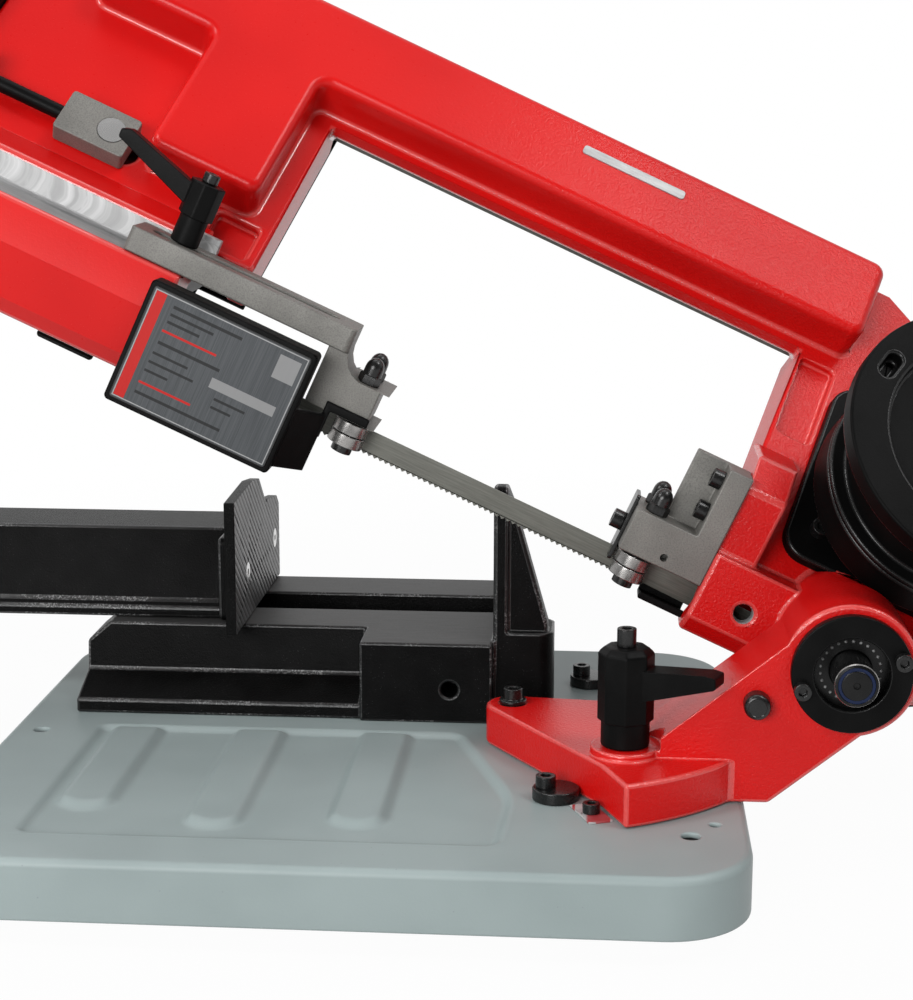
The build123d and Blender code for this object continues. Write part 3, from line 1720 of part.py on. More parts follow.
# Right guide block, bolted to the wall of the bow
with BuildPart() as right_guide_block:
    block(
        cut_plane.offset(-guide_head_half),
        (block_arm_left, guide_head_low),
        (throat_right_low, guide_arm_high),
        2 * guide_head_half,
    )
    block(
        cut_plane.offset(-4),
        (block_flange_left, guide_head_low),
        (throat_right_low, block_flange_high),
        4 + guide_head_half,
    )
    block(cut_plane.offset(-4), (block_web_left, guide_head_low), (block_flange_left + 1, block_flange_high), 6)
    for side in (-1, 1):
        disc(
            flat_plane.offset(guide_head_low - 1),
            roller_bore / 2 + fit_gap,
            guide_arm_high - guide_head_low + 2,
            Mode.SUBTRACT,
            at=(guide_right_u, side * guide_pin_y),
        )
    for seat in block_screw_seats:
        screw_hole(seat, m6_screw, throat_right_low - block_flange_left)
    screw_hole(wiper_screw_seat, m6_screw, 16)
save(right_guide_block, "right_guide_block")

with BuildPart() as right_guide_screws:
    for seat in block_screw_seats:
        cap_screw(seat, m6_screw, throat_right_low - block_flange_left + 12)
    cap_screw(wiper_screw_seat, m6_screw, 14)
save(right_guide_screws, "right_guide_screws")

with BuildPart() as wiper_plate:
    block(
        section_plane(block_arm_left - wiper_thickness),
        (-9, wiper_low),
        (9, wiper_high),
        wiper_thickness,
        corner=2,
    )
    block(
        section_plane(block_arm_left - wiper_thickness),
        (-1.2, wiper_low - 1),
        (1.2, blade_width / 2 + 1),
        wiper_thickness,
        Mode.SUBTRACT,
    )
    screw_hole(wiper_screw_seat, m6_screw, wiper_thickness)
save(wiper_plate, "wiper_plate")

with BuildPart() as blade_channel:
    prism(
        section_plane(channel_left),
        [
            (-8, channel_low),
            (8, channel_low),
            (8, guide_head_low),
            (6, guide_head_low),
            (6, channel_low + 2),
            (-6, channel_low + 2),
            (-6, channel_low + 4),
            (-8, channel_low + 4),
        ],
        throat_right_low - channel_left,
    )
save(blade_channel, "blade_channel")

# Gearbox: flange on the casting, a neck around the gears, open towards the motor
counter_spot = (drive_u + gear_centre, wheel_e)
neck_low = casting_front + flange_thickness
neck_high = neck_low + gear_neck_length
with BuildPart() as gearbox_housing:
    block(
        wheel_plane.offset(casting_front),
        (drive_u - flange_left, wheel_e - flange_low),
        (drive_u + flange_right, wheel_e + flange_high),
        flange_thickness,
        corner=flange_corner,
    )
    disc(wheel_plane.offset(neck_low), gear_neck_r, gear_neck_foot, at=drive_spot)
    with BuildSketch(wheel_plane.offset(neck_low + gear_neck_foot)) as neck_foot:
        with Locations(drive_spot):
            Circle(gear_neck_r)
    with BuildSketch(wheel_plane.offset(neck_low + gear_drum_low)) as neck_head:
        with Locations(drive_spot):
            Circle(gear_drum_r)
    loft([neck_foot.sketch.face(), neck_head.sketch.face()])
    disc(
        wheel_plane.offset(neck_low + gear_drum_low),
        gear_drum_r,
        gear_neck_length - gear_drum_low,
        at=drive_spot,
    )
    disc(wheel_plane.offset(neck_low), gear_neck_r - gear_wall, gear_neck_length, Mode.SUBTRACT, at=drive_spot)
    disc(
        wheel_plane.offset(neck_low + gear_drum_low),
        gear_drum_r - gear_wall,
        gear_neck_length - gear_drum_low,
        Mode.SUBTRACT,
        at=drive_spot,
    )
    disc(
        wheel_plane.offset(casting_front),
        output_shaft_d / 2 + running_gap,
        flange_thickness,
        Mode.SUBTRACT,
        at=drive_spot,
    )
    disc(
        wheel_plane.offset(neck_low),
        motor_shaft_d / 2 + running_gap,
        -6,
        Mode.SUBTRACT,
        at=counter_spot,
    )
    for seat in flange_screw_seats:
        screw_hole(seat, m6_screw, flange_thickness)
save(gearbox_housing, "gearbox_housing")

with BuildPart() as gearbox_screws:
    for seat in flange_screw_seats:
        cap_screw(seat, m6_screw, flange_thickness + 8)
save(gearbox_screws, "gearbox_screws")

# Gears: motor pinion, counter gear and output gear on two parallel axes
output_low = neck_low + 3
output_wide = 10.0
motor_low = output_low + output_wide + 4
motor_wide = 8.0
with BuildPart() as output_shaft:
    disc(
        wheel_plane.offset(-wheel_width / 2 - 3),
        output_shaft_d / 2,
        wheel_width / 2 + 3 + output_low + output_wide + 1,
        at=drive_spot,
    )
    disc(wheel_plane.offset(-wheel_width / 2), 14, -3, at=drive_spot)
    prism(
        wheel_plane.offset(output_low),
        gear_points(output_teeth, stage_two_module, drive_spot, 0),
        output_wide,
    )
save(output_shaft, "output_shaft")

with BuildPart() as counter_gear:
    disc(
        wheel_plane.offset(neck_low - 5.5),
        motor_shaft_d / 2,
        gear_neck_length + 8.5,
        at=counter_spot,
    )
    prism(
        wheel_plane.offset(output_low),
        gear_points(counter_pinion_teeth, stage_two_module, counter_spot, 180 + 180 / counter_pinion_teeth),
        motor_low - output_low + 1,
    )
    prism(
        wheel_plane.offset(motor_low),
        gear_points(counter_teeth, stage_one_module, counter_spot, 180 + 180 / counter_teeth),
        motor_wide,
    )
save(counter_gear, "counter_gear")

motor_back = neck_high
motor_front = motor_back + motor_length
with BuildPart() as motor_rotor:
    disc(
        wheel_plane.offset(motor_low),
        motor_shaft_d / 2 - 0.8,
        motor_back + 6 - motor_low,
        at=drive_spot,
    )
    prism(
        wheel_plane.offset(motor_low),
        gear_points(motor_teeth, stage_one_module, drive_spot, 0),
        motor_wide,
    )
    disc(wheel_plane.offset(motor_back + 5), 5, motor_length - motor_dish - 11, at=drive_spot)
    disc(wheel_plane.offset(motor_back + 10), 35, motor_length - motor_dish - 26, at=drive_spot)
save(motor_rotor, "motor_rotor")

with BuildPart() as motor_housing:
    disc(wheel_plane.offset(motor_back), gear_drum_r, motor_wall, at=drive_spot)
    disc(wheel_plane.offset(motor_back), motor_r, motor_length - motor_disc + 1, at=drive_spot)
    disc(wheel_plane.offset(motor_front - motor_disc), motor_disc_r, motor_disc, at=drive_spot)
    fillet(motor_housing.faces().sort_by(wheel_normal)[-1].edges(), 1.5)
    disc(wheel_plane.offset(motor_front), motor_dish_r, -motor_dish, Mode.SUBTRACT, at=drive_spot)
    disc(
        wheel_plane.offset(motor_back + motor_wall),
        motor_r - motor_wall,
        motor_length - 2 * motor_wall - motor_dish,
        Mode.SUBTRACT,
        at=drive_spot,
    )
    ring(
        wheel_plane.offset(motor_front - motor_dish - motor_wall - 8), 11, 5 + running_gap, 9, at=drive_spot
    )
    disc(
        wheel_plane.offset(motor_back),
        motor_shaft_d / 2 - 0.8 + running_gap,
        motor_wall,
        Mode.SUBTRACT,
        at=drive_spot,
    )
    disc(
        wheel_plane.offset(motor_back),
        motor_shaft_d / 2 + running_gap,
        motor_wall,
        Mode.SUBTRACT,
        at=counter_spot,
    )
    for number in range(vent_count):
        vent_turn = 165 + number * 360 / vent_count
        vent_half = degrees(vent_length / 2 / vent_r)
        slot(
            wheel_plane.offset(motor_front),
            around(drive_spot, vent_r, vent_turn - vent_half),
            around(drive_spot, vent_r, vent_turn + vent_half),
            vent_d,
            -vent_depth,
        )
save(motor_housing, "motor_housing")

# Handle at the free end of the bow with its trigger
grip_in_u = handle_left + handle_bar
trigger_t = handle_back + (handle_depth - trigger_width) / 2
with BuildPart() as handle:
    block(
        wheel_plane.offset(handle_back),
        (handle_left, handle_low),
        (housing_left_u, handle_high),
        handle_depth,
        corner=16,
    )
    block(
        wheel_plane.offset(-casting_rear),
        (grip_in_u, handle_low + handle_bar),
        (housing_left_u - handle_bar, handle_high - handle_bar),
        handle_depth + 2 * casting_rear,
        Mode.SUBTRACT,
        10,
    )
    fillet(handle.faces().sort_by(wheel_normal)[-1].edges(), 5)
    fillet(handle.faces().sort_by(wheel_normal)[0].edges(), 5)
    block(
        wheel_plane.offset(trigger_t - slide_gap),
        (handle_left + 4, trigger_low - slide_gap),
        (grip_in_u + 1, trigger_high + slide_gap),
        trigger_width + 2 * slide_gap,
        Mode.SUBTRACT,
    )
save(handle, "handle")

with BuildPart() as trigger:
    block(
        wheel_plane.offset(trigger_t),
        (handle_left + 5 + trigger_travel, trigger_low),
        (grip_in_u + trigger_out, trigger_high),
        trigger_width,
        corner=2,
    )
save(trigger, "trigger")
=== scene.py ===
import json
import math

import bmesh
import bpy
import numpy as np
from mathutils import Matrix, Vector
from mathutils.geometry import delaunay_2d_cdt


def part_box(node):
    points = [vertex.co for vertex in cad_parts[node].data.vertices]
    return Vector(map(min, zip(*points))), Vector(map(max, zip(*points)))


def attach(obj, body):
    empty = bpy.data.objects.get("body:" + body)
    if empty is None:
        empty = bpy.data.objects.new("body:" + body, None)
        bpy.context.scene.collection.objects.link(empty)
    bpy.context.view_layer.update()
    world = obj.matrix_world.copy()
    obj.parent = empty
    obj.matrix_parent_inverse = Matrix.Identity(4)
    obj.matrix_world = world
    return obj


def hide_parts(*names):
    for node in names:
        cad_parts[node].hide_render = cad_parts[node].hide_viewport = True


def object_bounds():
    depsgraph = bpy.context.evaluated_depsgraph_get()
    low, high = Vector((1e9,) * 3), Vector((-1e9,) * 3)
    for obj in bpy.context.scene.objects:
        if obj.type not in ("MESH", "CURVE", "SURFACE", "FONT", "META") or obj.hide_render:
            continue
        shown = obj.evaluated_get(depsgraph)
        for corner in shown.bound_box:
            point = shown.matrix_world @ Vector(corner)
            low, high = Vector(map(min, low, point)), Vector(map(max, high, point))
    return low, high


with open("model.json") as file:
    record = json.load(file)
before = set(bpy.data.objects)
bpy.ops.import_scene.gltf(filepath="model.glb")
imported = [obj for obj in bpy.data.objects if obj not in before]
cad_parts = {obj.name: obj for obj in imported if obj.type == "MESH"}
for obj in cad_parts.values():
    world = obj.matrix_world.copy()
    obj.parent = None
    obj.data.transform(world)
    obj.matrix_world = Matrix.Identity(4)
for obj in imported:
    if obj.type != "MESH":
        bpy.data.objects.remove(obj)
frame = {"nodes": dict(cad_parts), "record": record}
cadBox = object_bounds()
nodes = frame["nodes"]
bodyOf = {node: body for body, held in frame["record"]["behaviour"]["bodies"].items() for node in held}
slotOf = {part["node"]: part["material_slot"] for part in frame["record"]["subparts"]}
print("frame loaded with", len(nodes), "nodes")

mm = 0.001
tilt = math.radians(24.85)                      # the bow hangs at this angle
lean = math.radians(40)                         # the wheels lean back by this angle
bowAlong = Vector((math.cos(tilt), 0, -math.sin(tilt)))
bowUp = Vector((math.sin(tilt), 0, math.cos(tilt)))
toFront = Vector((0, -1, 0))
wheelUp = bowUp * math.cos(lean) - toFront * math.sin(lean)
wheelOut = bowUp * math.sin(lean) + toFront * math.cos(lean)
bowStart = Vector((81.34, 0, 166.5)) * mm


def bowPoint(u, y, w):
    return bowStart + (bowAlong * u - toFront * y + bowUp * w) * mm


def wheelPoint(u, e, t):
    return bowStart + (bowAlong * u + wheelUp * e + wheelOut * t) * mm


# camera at the place that the photograph was taken from
cameraView = {"place": (0.1264, -1.0226, 0.3804), "turn": 4.4, "dip": 11.4, "roll": 0.1, "lens": 78.86}


def setCamera():
    turn = math.radians(cameraView["turn"])
    dip = math.radians(cameraView["dip"])
    roll = math.radians(cameraView["roll"])
    ahead = Vector((-math.sin(turn) * math.cos(dip), math.cos(turn) * math.cos(dip), -math.sin(dip)))
    right = Vector((math.cos(turn), math.sin(turn), 0))
    up = right.cross(ahead)
    right, up = (right * math.cos(roll) + up * math.sin(roll), up * math.cos(roll) - right * math.sin(roll))
    lens = bpy.data.cameras.new("photoLens")
    lens.lens = cameraView["lens"]
    lens.sensor_fit = "HORIZONTAL"
    lens.sensor_width = 36
    lens.clip_start = 0.01
    eye = bpy.data.objects.new("photoCamera", lens)
    eye.matrix_world = Matrix([*zip(right, up, -ahead, cameraView["place"]), (0, 0, 0, 1)])
    bpy.context.scene.collection.objects.link(eye)
    bpy.context.scene.camera = eye


setCamera()
print("camera set")


# shader sums are written with these classes
def wireMath(operation):
    return lambda self, other=0: self.nodes.math(operation, self, other)


class Wire:
    def __init__(self, nodes, socket):
        self.nodes = nodes
        self.socket = socket

    __add__ = __radd__ = wireMath("ADD")
    __mul__ = __rmul__ = wireMath("MULTIPLY")
    __sub__ = wireMath("SUBTRACT")
    most = wireMath("MAXIMUM")
    least = wireMath("MINIMUM")
    saw = wireMath("PINGPONG")
    size = wireMath("ABSOLUTE")
    root = wireMath("SQRT")

    def __rsub__(self, other):
        return self.nodes.math("SUBTRACT", other, self)

    def span(self, low, high):
        reach = {"From Min": low, "From Max": high, "Value": self}
        return self.nodes.node("MapRange", {"interpolation_type": "SMOOTHSTEP"}, reach)


class Nodes:
    def __init__(self, tree):
        self.tree = tree

    def node(self, kind, settings, sockets, out=0):
        made = self.tree.nodes.new("ShaderNode" + kind)
        for key, value in settings.items():
            setattr(made, key, value)
        for key, value in sockets.items():
            if isinstance(value, Wire):
                self.tree.links.new(value.socket, made.inputs[key])
            else:
                made.inputs[key].default_value = value
        return Wire(self, made.outputs[out])

    def math(self, operation, first, second):
        return self.node("Math", {"operation": operation}, {0: first, 1: second})

    def blend(self, factor, first, second):
        return self.node("Mix", {"data_type": "RGBA"}, {0: factor, 6: first, 7: second}, 2)


class Finish(Nodes):
    def __init__(self, name, **fixed):
        self.material = bpy.data.materials.new(name)
        self.material.use_nodes = True
        super().__init__(self.material.node_tree)
        self.shader = self.tree.nodes["Principled BSDF"]
        for socket, value in fixed.items():
            self.shader.inputs[socket.replace("_", " ")].default_value = value
        self.place = self.node("TexCoord", {}, {}, "Object")

    def noise(self, scale, detail=2.0, rough=0.5, stretch=None, turn=(0, 0, 0)):
        spot = self.place
        if stretch:
            turned = self.node("Mapping", {}, {"Vector": spot, "Rotation": turn})
            spot = self.node("Mapping", {}, {"Vector": turned, "Scale": stretch})
        return self.node("TexNoise", {}, {"Vector": spot, "Scale": scale, "Detail": detail,
                                          "Roughness": rough})

    def line(self, value, scale, detail=2.0):
        along = self.node("CombineXYZ", {}, {"X": value})
        return self.node("TexNoise", {}, {"Vector": along, "Scale": scale, "Detail": detail,
                                          "Roughness": 0.6})

    def specks(self, scale, size):
        near = self.node("TexVoronoi", {}, {"Vector": self.place, "Scale": scale, "Randomness": 1.0})
        return 1 - near.span(size * 0.5, size)

    def vector(self, operation, first, second, out=0):
        return self.node("VectorMath", {"operation": operation}, {0: first, 1: second}, out)

    def along(self, axis, start):
        shifted = self.vector("SUBTRACT", self.place, tuple(start))
        return self.vector("DOT_PRODUCT", shifted, tuple(axis), "Value")

    def reach(self, axis, start):
        shifted = self.vector("SUBTRACT", self.place, tuple(start))
        across = self.vector("CROSS_PRODUCT", shifted, tuple(axis))
        return self.node("VectorMath", {"operation": "LENGTH"}, {0: across}, "Value")

    def bump(self, height, depth, strength=1.0):
        return self.node("Bump", {}, {"Height": height, "Distance": depth * mm, "Strength": strength})

    def set(self, **sockets):
        for socket, value in sockets.items():
            self.tree.links.new(value.socket, self.shader.inputs[socket.replace("_", " ")])
        return self.material


def grey(value, warm=0.0):
    return (value * (1 + warm), value, value * (1 - warm), 1)


finishes = {}
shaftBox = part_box("hinge_shaft")
hingeLine = (Vector(shaftBox[0]) + Vector(shaftBox[1])) / 2


def redPaint(name="redPaint", gloss=0.24, shine=1.33, pale=0.0):
    paint = Finish(name, IOR=shine)
    peel = paint.noise(640, 2.0, 0.55)
    fine = paint.noise(1700)
    cloud = paint.noise(9)
    # pale pink specks painted into the red as glints, a painted highlight
    paintedGlint = paint.specks(560, 0.1)
    rough = 0.2 + paint.along(bowAlong, bowStart).span(-0.2, 0.1) * 1.3
    tone = paint.blend(cloud.span(0.3, 0.7), (0.55, 0.004, 0.004, 1), (0.63, 0.007, 0.006, 1))
    # pale lifts the whole red towards pink; the edge finish uses it as a painted highlight along the edges
    colour = paint.blend(paintedGlint * 0.25 + pale, tone, (0.9, 0.25, 0.23, 1))
    return paint.set(Base_Color=colour, Roughness=gloss + peel * 0.12,
                     Normal=paint.bump((peel + fine * 0.35) * rough, 0.4, 0.6))


# edge rounds of the red castings: glossier, and the red paled 0.2 towards pink, a painted highlight along
# every edge
def redEdge():
    return redPaint("redEdge", 0.1, 1.6, 0.2)


def trayPaint():
    paint = Finish("trayPaint", IOR=1.4)
    fine = paint.noise(900)
    wave = paint.noise(16)
    dirt = paint.specks(95, 0.05)
    tone = paint.blend(wave.span(0.3, 0.7), (0.265, 0.318, 0.316, 1), (0.295, 0.352, 0.349, 1))
    colour = paint.blend(dirt * 0.5, tone, (0.2, 0.22, 0.22, 1))
    return paint.set(Base_Color=colour, Roughness=0.36 + fine * 0.1 + wave * 0.06,
                     Normal=paint.bump(fine + wave * 2.0, 0.08, 0.5))


def blackCasting():
    paint = Finish("blackCasting", IOR=1.15)
    grain = paint.noise(1000, 3.0, 0.65)
    lump = paint.noise(170)
    # grey specks painted into the black as glints, a painted highlight
    paintedGlint = paint.specks(620, 0.13)
    patch = paint.noise(60)
    dark = paint.blend(patch.span(0.3, 0.75), grey(0.0022), grey(0.004))
    colour = paint.blend(paintedGlint * patch.span(0.4, 0.7) * 0.5, dark, grey(0.14))
    return paint.set(Base_Color=colour, Roughness=0.26 + grain * 0.2,
                     Normal=paint.bump(grain + lump * 0.2, 0.5, 0.7))


# edge rounds of the black castings: grey specks that are partly wear and partly painted glints, a speckled
# highlight along the ridges
def castEdge():
    paint = Finish("castEdge", IOR=1.5)
    grain = paint.noise(820, 3.0, 0.65)
    patch = paint.noise(34)
    wearAndGlint = grain.span(0.5, 0.62) * patch.span(0.42, 0.62)
    colour = paint.blend(wearAndGlint * 0.7, grey(0.005), grey(0.24))
    return paint.set(Base_Color=colour, Roughness=0.24 + grain * 0.2, Normal=paint.bump(grain, 0.4, 0.6))


# grain, cloud and stain are noises; grain moves gloss and bump, cloud moves the tones and the metal;
# over is a noise with its low end, high end, share and tone; lumps is a noise added to the bump
tableLooks = {
    "ground_iron": {"shine": 1.45, "grain": (900, 3.0, 0.6), "cloud": (60, 3.0, 0.6, (1, 14, 14)),
                    "tones": (grey(0.027, 0.01), grey(0.048, 0.01)),
                    "over": ("grain", 0.55, 0.75, 0.6, grey(0.11)),
                    "metal": (0.2, 0.2), "gloss": (0.42, 0.2), "bump": (0.06, 0.5), "lumps": "cloud"},
    "jaw_steel": {"shine": 1.5, "grain": (700, 3.0, 0.6), "cloud": (45,), "tones": (grey(0.07), grey(0.12)),
                  "over": ("grain", 0.3, 0.7, 0.35, grey(0.06)),
                  "metal": (0.3, 0.2), "gloss": (0.36, 0.16), "bump": (0.08, 0.5)},
    "black_screws": {"shine": 1.45, "grain": (1300,), "stain": (160,), "ends": (0.35, 0.7),
                     "tones": (grey(0.004), grey(0.009)), "over": ("stain", 0.6, 0.75, 0.3, grey(0.04)),
                     "gloss": (0.22, 0.14), "bump": (0.04, 0.4)},
    "guide_metal": {"shine": 1.5, "grain": (900, 3.0, 0.6), "cloud": (40,), "stain": (1300, 3.0, 0.7),
                    "ends": (0.25, 0.75), "tones": ((0.15, 0.145, 0.132, 1), (0.205, 0.199, 0.182, 1)),
                    "over": ("stain", 0.4, 0.7, 0.6, grey(0.07, 0.04)),
                    "metal": (0.2, 0.2), "gloss": (0.42, 0.18), "bump": (0.14, 0.5), "lumps": "stain"},
    "seat_metal": {"shine": 1.6, "grain": (900, 2.0, 0.6), "cloud": (50, 3.0, 0.6, (1, 8, 8), (0, -tilt, 0)),
                   "tones": (grey(0.2), grey(0.3)),
                   "metal": (0.2, 0.2), "gloss": (0.4, 0.15), "bump": (0.05, 0.4)},
    "bright_steel": {"shine": 2.4, "grain": (1500,), "cloud": (30,),
                     "tones": (grey(0.46, 0.01), grey(0.56, 0.01)),
                     "metal": (0.96, 0.04), "gloss": (0.16, 0.08), "bump": (0.01, 0.3)},
    "roller_steel": {"shine": 1.8, "grain": (1200,), "cloud": (120,),
                     "tones": (grey(0.2, 0.03), grey(0.34, 0.03)),
                     "metal": (0.75, 0.15), "gloss": (0.2, 0.12)},
    "black_plastic": {"shine": 1.17, "grain": (950, 3.0, 0.6), "cloud": (50,),
                      "tones": (grey(0.0022), grey(0.0045)), "gloss": (0.34, 0.18), "bump": (0.14, 0.5)},
    "black_paint": {"shine": 1.17, "grain": (700,), "cloud": (40,),
                    "tones": (grey(0.0022), grey(0.0045)), "gloss": (0.28, 0.14), "bump": (0.12, 0.45)},
    "black_motor": {"shine": 1.14, "grain": (800, 3.0, 0.6), "cloud": (30,),
                    "tones": (grey(0.002), grey(0.0036)), "gloss": (0.4, 0.14), "bump": (0.14, 0.5)},
    "trigger_plastic": {"shine": 1.45, "grain": (950, 3.0, 0.6),
                        "tones": ((0.42, 0.012, 0.01, 1), (0.52, 0.02, 0.016, 1)),
                        "gloss": (0.38, 0.16), "bump": (0.08, 0.4)},
    "foot_rubber": {"shine": 1.4, "grain": (500, 3.0, 0.6),
                    "tones": (grey(0.01), grey(0.022)), "gloss": (0.62, 0.2), "bump": (0.2, 0.5)},
    "wheel_metal": {"shine": 2.0, "grain": (600, 3.0, 0.6), "cloud": (45,), "tones": (grey(0.2), grey(0.32)),
                    "metal": (0.6, 0.2), "gloss": (0.4, 0.2), "bump": (0.12, 0.5)},
}
tableLooks["strip_metal"] = dict(tableLooks["seat_metal"], tones=(grey(0.34), grey(0.46)))
# rims of the motor and of the cap's bore: glossier, with tones three times lighter than the motor's, a
# painted highlight along those edges
tableLooks["motor_edge"] = dict(tableLooks["black_motor"], shine=1.36, gloss=(0.2, 0.14),
                                tones=(grey(0.006), grey(0.0108)))


def tableFinish(slotName, look):
    first, second = slotName.split("_")
    made = Finish(first + second.title(), IOR=look["shine"])
    noises = {kind: made.noise(*look[kind]) for kind in ("grain", "cloud", "stain") if kind in look}
    grain = noises["grain"]
    cloud = noises.get("cloud", grain)
    colour = made.blend(cloud.span(*look.get("ends", (0.3, 0.7))), *look["tones"])
    if "over" in look:
        kind, low, high, share, tone = look["over"]
        colour = made.blend(noises[kind].span(low, high) * share, colour, tone)
    sockets = {"Base_Color": colour, "Roughness": look["gloss"][0] + grain * look["gloss"][1]}
    if "metal" in look:
        sockets["Metallic"] = look["metal"][0] + cloud * look["metal"][1]
    if "bump" in look:
        height = grain + noises[look["lumps"]] if "lumps" in look else grain
        sockets["Normal"] = made.bump(height, *look["bump"])
    return made.set(**sockets)


# oily dark steel of the hinge, with a blue ring where the shaft was hardened
def hingeSteel():
    steel = Finish("hingeSteel", IOR=1.3)
    grain = steel.noise(900, 2.0, 0.6)
    cloud = steel.noise(70)
    away = steel.reach((0, 1, 0), hingeLine) * (1 / mm)
    dark = steel.blend(cloud.span(0.3, 0.7), grey(0.003), grey(0.008))
    ring = 1 - (away - 8.0).size().span(0.6, 0.9)
    colour = steel.blend(ring, dark, (0.006, 0.014, 0.05, 1))
    return steel.set(Base_Color=colour, Roughness=0.22 + grain * 0.14, Normal=steel.bump(grain, 0.03, 0.4))


def bladeSteel():
    steel = Finish("bladeSteel", IOR=1.7)
    streak = steel.noise(40, 4.0, 0.65, (1, 1, 26), (0, -tilt, 0))
    fine = steel.noise(1500, 2.0, 0.6)
    colour = steel.blend(streak.span(0.25, 0.75), (0.085, 0.085, 0.072, 1), (0.15, 0.15, 0.13, 1))
    return steel.set(Base_Color=colour, Metallic=0.4 + streak * 0.2, Roughness=0.38 + fine * 0.14,
                     Normal=steel.bump(streak * 0.6 + fine * 0.4, 0.03, 0.4))


# overlapping arcs that a milling cutter leaves along the wall, painted lighter as the sheen they catch
def milledMetal():
    milled = Finish("milledMetal", IOR=1.4)
    drift = milled.noise(60)
    spotU = milled.along(bowAlong, bowPoint(0, 0, 0)) * (1 / mm) + drift * 5
    lift = milled.along(bowUp, bowPoint(0, 0, 49.5)) * (1 / mm)
    curve = (90 - lift * lift).most(0.5).root()
    ahead = milled.line(spotU - curve, 0.12, 3.0)
    behind = milled.line(spotU + curve, 0.1, 3.0)
    cloud = milled.noise(48)
    arcs = ahead.span(0.38, 0.66).most(behind.span(0.46, 0.7) * cloud.span(0.4, 0.6))
    grain = milled.noise(1100, 2.0, 0.6)
    # the arcs are painted more than twice as light: partly the cutter's marks, partly a painted sheen
    colour = milled.blend(arcs * (0.45 + cloud * 0.55), grey(0.3), grey(0.66))
    return milled.set(Base_Color=colour, Metallic=0.1 + cloud * 0.1, Roughness=0.44 + arcs * 0.1,
                      Normal=milled.bump(arcs + grain * 0.3, 0.05, 0.5))


# millimetres from the plate's lower left corner: left, right, low, high
plateMarks = {"left": -214.4, "right": -128.6, "low": -25.4, "high": 35.4, "border": 1.4,
              "red": ((1.8, 7.4, 1.8, 59.0), (11.8, 41.4, 41.1, 42.3), (11.1, 39.4, 12.6, 13.8)),
              "pale": ((44.1, 79.2, 25.6, 30.9), (70.5, 82.0, 44.0, 56.5)),
              "rules": ((12.5, 50.0, 54.0, 55.6), (12.5, 36.0, 50.0, 51.4), (12.5, 30.0, 46.0, 47.4),
                        (12.2, 46.0, 34.6, 36.2), (11.8, 31.0, 28.9, 30.2), (11.6, 36.0, 24.0, 25.3),
                        (11.4, 24.0, 19.2, 20.5), (49.0, 66.0, 20.6, 21.9), (49.0, 60.0, 16.2, 17.5),
                        (11.2, 58.0, 7.0, 8.5))}


def plateMetal():
    plate = Finish("plateMetal", IOR=1.35)
    marks = plateMarks
    across = plate.along(bowAlong, bowPoint(marks["left"], 0, 0)) * (1 / mm)
    upward = plate.along(bowUp, bowPoint(0, 0, marks["low"])) * (1 / mm)
    wide = marks["right"] - marks["left"]
    tall = marks["high"] - marks["low"]
    brush = plate.noise(26, 4.0, 0.7, (70, 70, 1), (0, -tilt, 0))
    toEdge = across.least(wide - across).least(upward.least(tall - upward))

    def bar(leftEnd, rightEnd, lowEnd, highEnd):
        inside = (across - leftEnd).least(rightEnd - across)
        inside = inside.least((upward - lowEnd).least(highEnd - upward))
        return inside.span(-0.1, 0.1)

    def bars(zones):
        shown = bar(*zones[0])
        for zone in zones[1:]:
            shown = shown.most(bar(*zone))
        return shown

    steel = plate.blend(brush.span(0.25, 0.75), (0.042, 0.046, 0.05, 1), (0.078, 0.083, 0.088, 1))
    steel = plate.blend(1 - (toEdge - marks["border"]).size().span(0.15, 0.35), steel, grey(0.3))
    steel = plate.blend(1 - toEdge.span(0.5, 0.8), steel, grey(0.03))
    steel = plate.blend(bars(marks["red"]), steel, (0.42, 0.01, 0.008, 1))
    field = bars(marks["pale"])
    steel = plate.blend(field * 0.8, steel, grey(0.26))
    steel = plate.blend(bars(marks["rules"]) * 0.85, steel, grey(0.008))
    return plate.set(Base_Color=steel, Metallic=0.22 - field * 0.15, Roughness=0.4 + brush * 0.2,
                     Normal=plate.bump(brush, 0.04, 0.5))


# pale plate with a red border and a red field round the screw
def scaleMetal():
    scale = Finish("scaleMetal", IOR=1.5)
    low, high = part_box("angle_scale")
    across = scale.along((1, 0, 0), low) * (1 / mm)
    depth = scale.along((0, 1, 0), low) * (1 / mm)
    wide = (high[0] - low[0]) / mm
    deep = (high[1] - low[1]) / mm
    grain = scale.noise(900)
    cloud = scale.noise(140)
    toEdge = across.least(wide - across).least(depth.least(deep - depth))
    border = 1 - (toEdge - 1.9).size().span(0.5, 0.8)
    field = (across - wide * 0.4).span(-1.0, 1.0) * toEdge.span(1.2, 1.8)
    tick = (1 - across.saw(1.5).span(0.2, 0.4)) * (1 - (depth - deep * 0.45).size().span(1.2, 1.5))
    white = scale.blend(tick * toEdge.span(3.0, 3.4) * 0.7, grey(0.42), grey(0.05))
    red = border.most(field) * (0.75 + cloud * 0.4)
    colour = scale.blend(red, white, (0.36, 0.03, 0.035, 1))
    return scale.set(Base_Color=colour, Roughness=0.3 + grain * 0.15, Normal=scale.bump(grain, 0.03, 0.3))


for slotName, maker in (
        ("red_paint", redPaint), ("red_edge", redEdge), ("tray_paint", trayPaint),
        ("black_casting", blackCasting), ("cast_edge", castEdge), ("blade_steel", bladeSteel),
        ("plate_metal", plateMetal), ("scale_metal", scaleMetal), ("milled_metal", milledMetal),
        ("hinge_steel", hingeSteel)):
    finishes[slotName] = maker()
for slotName, look in tableLooks.items():
    finishes[slotName] = tableFinish(slotName, look)
print("finishes made:", len(finishes))


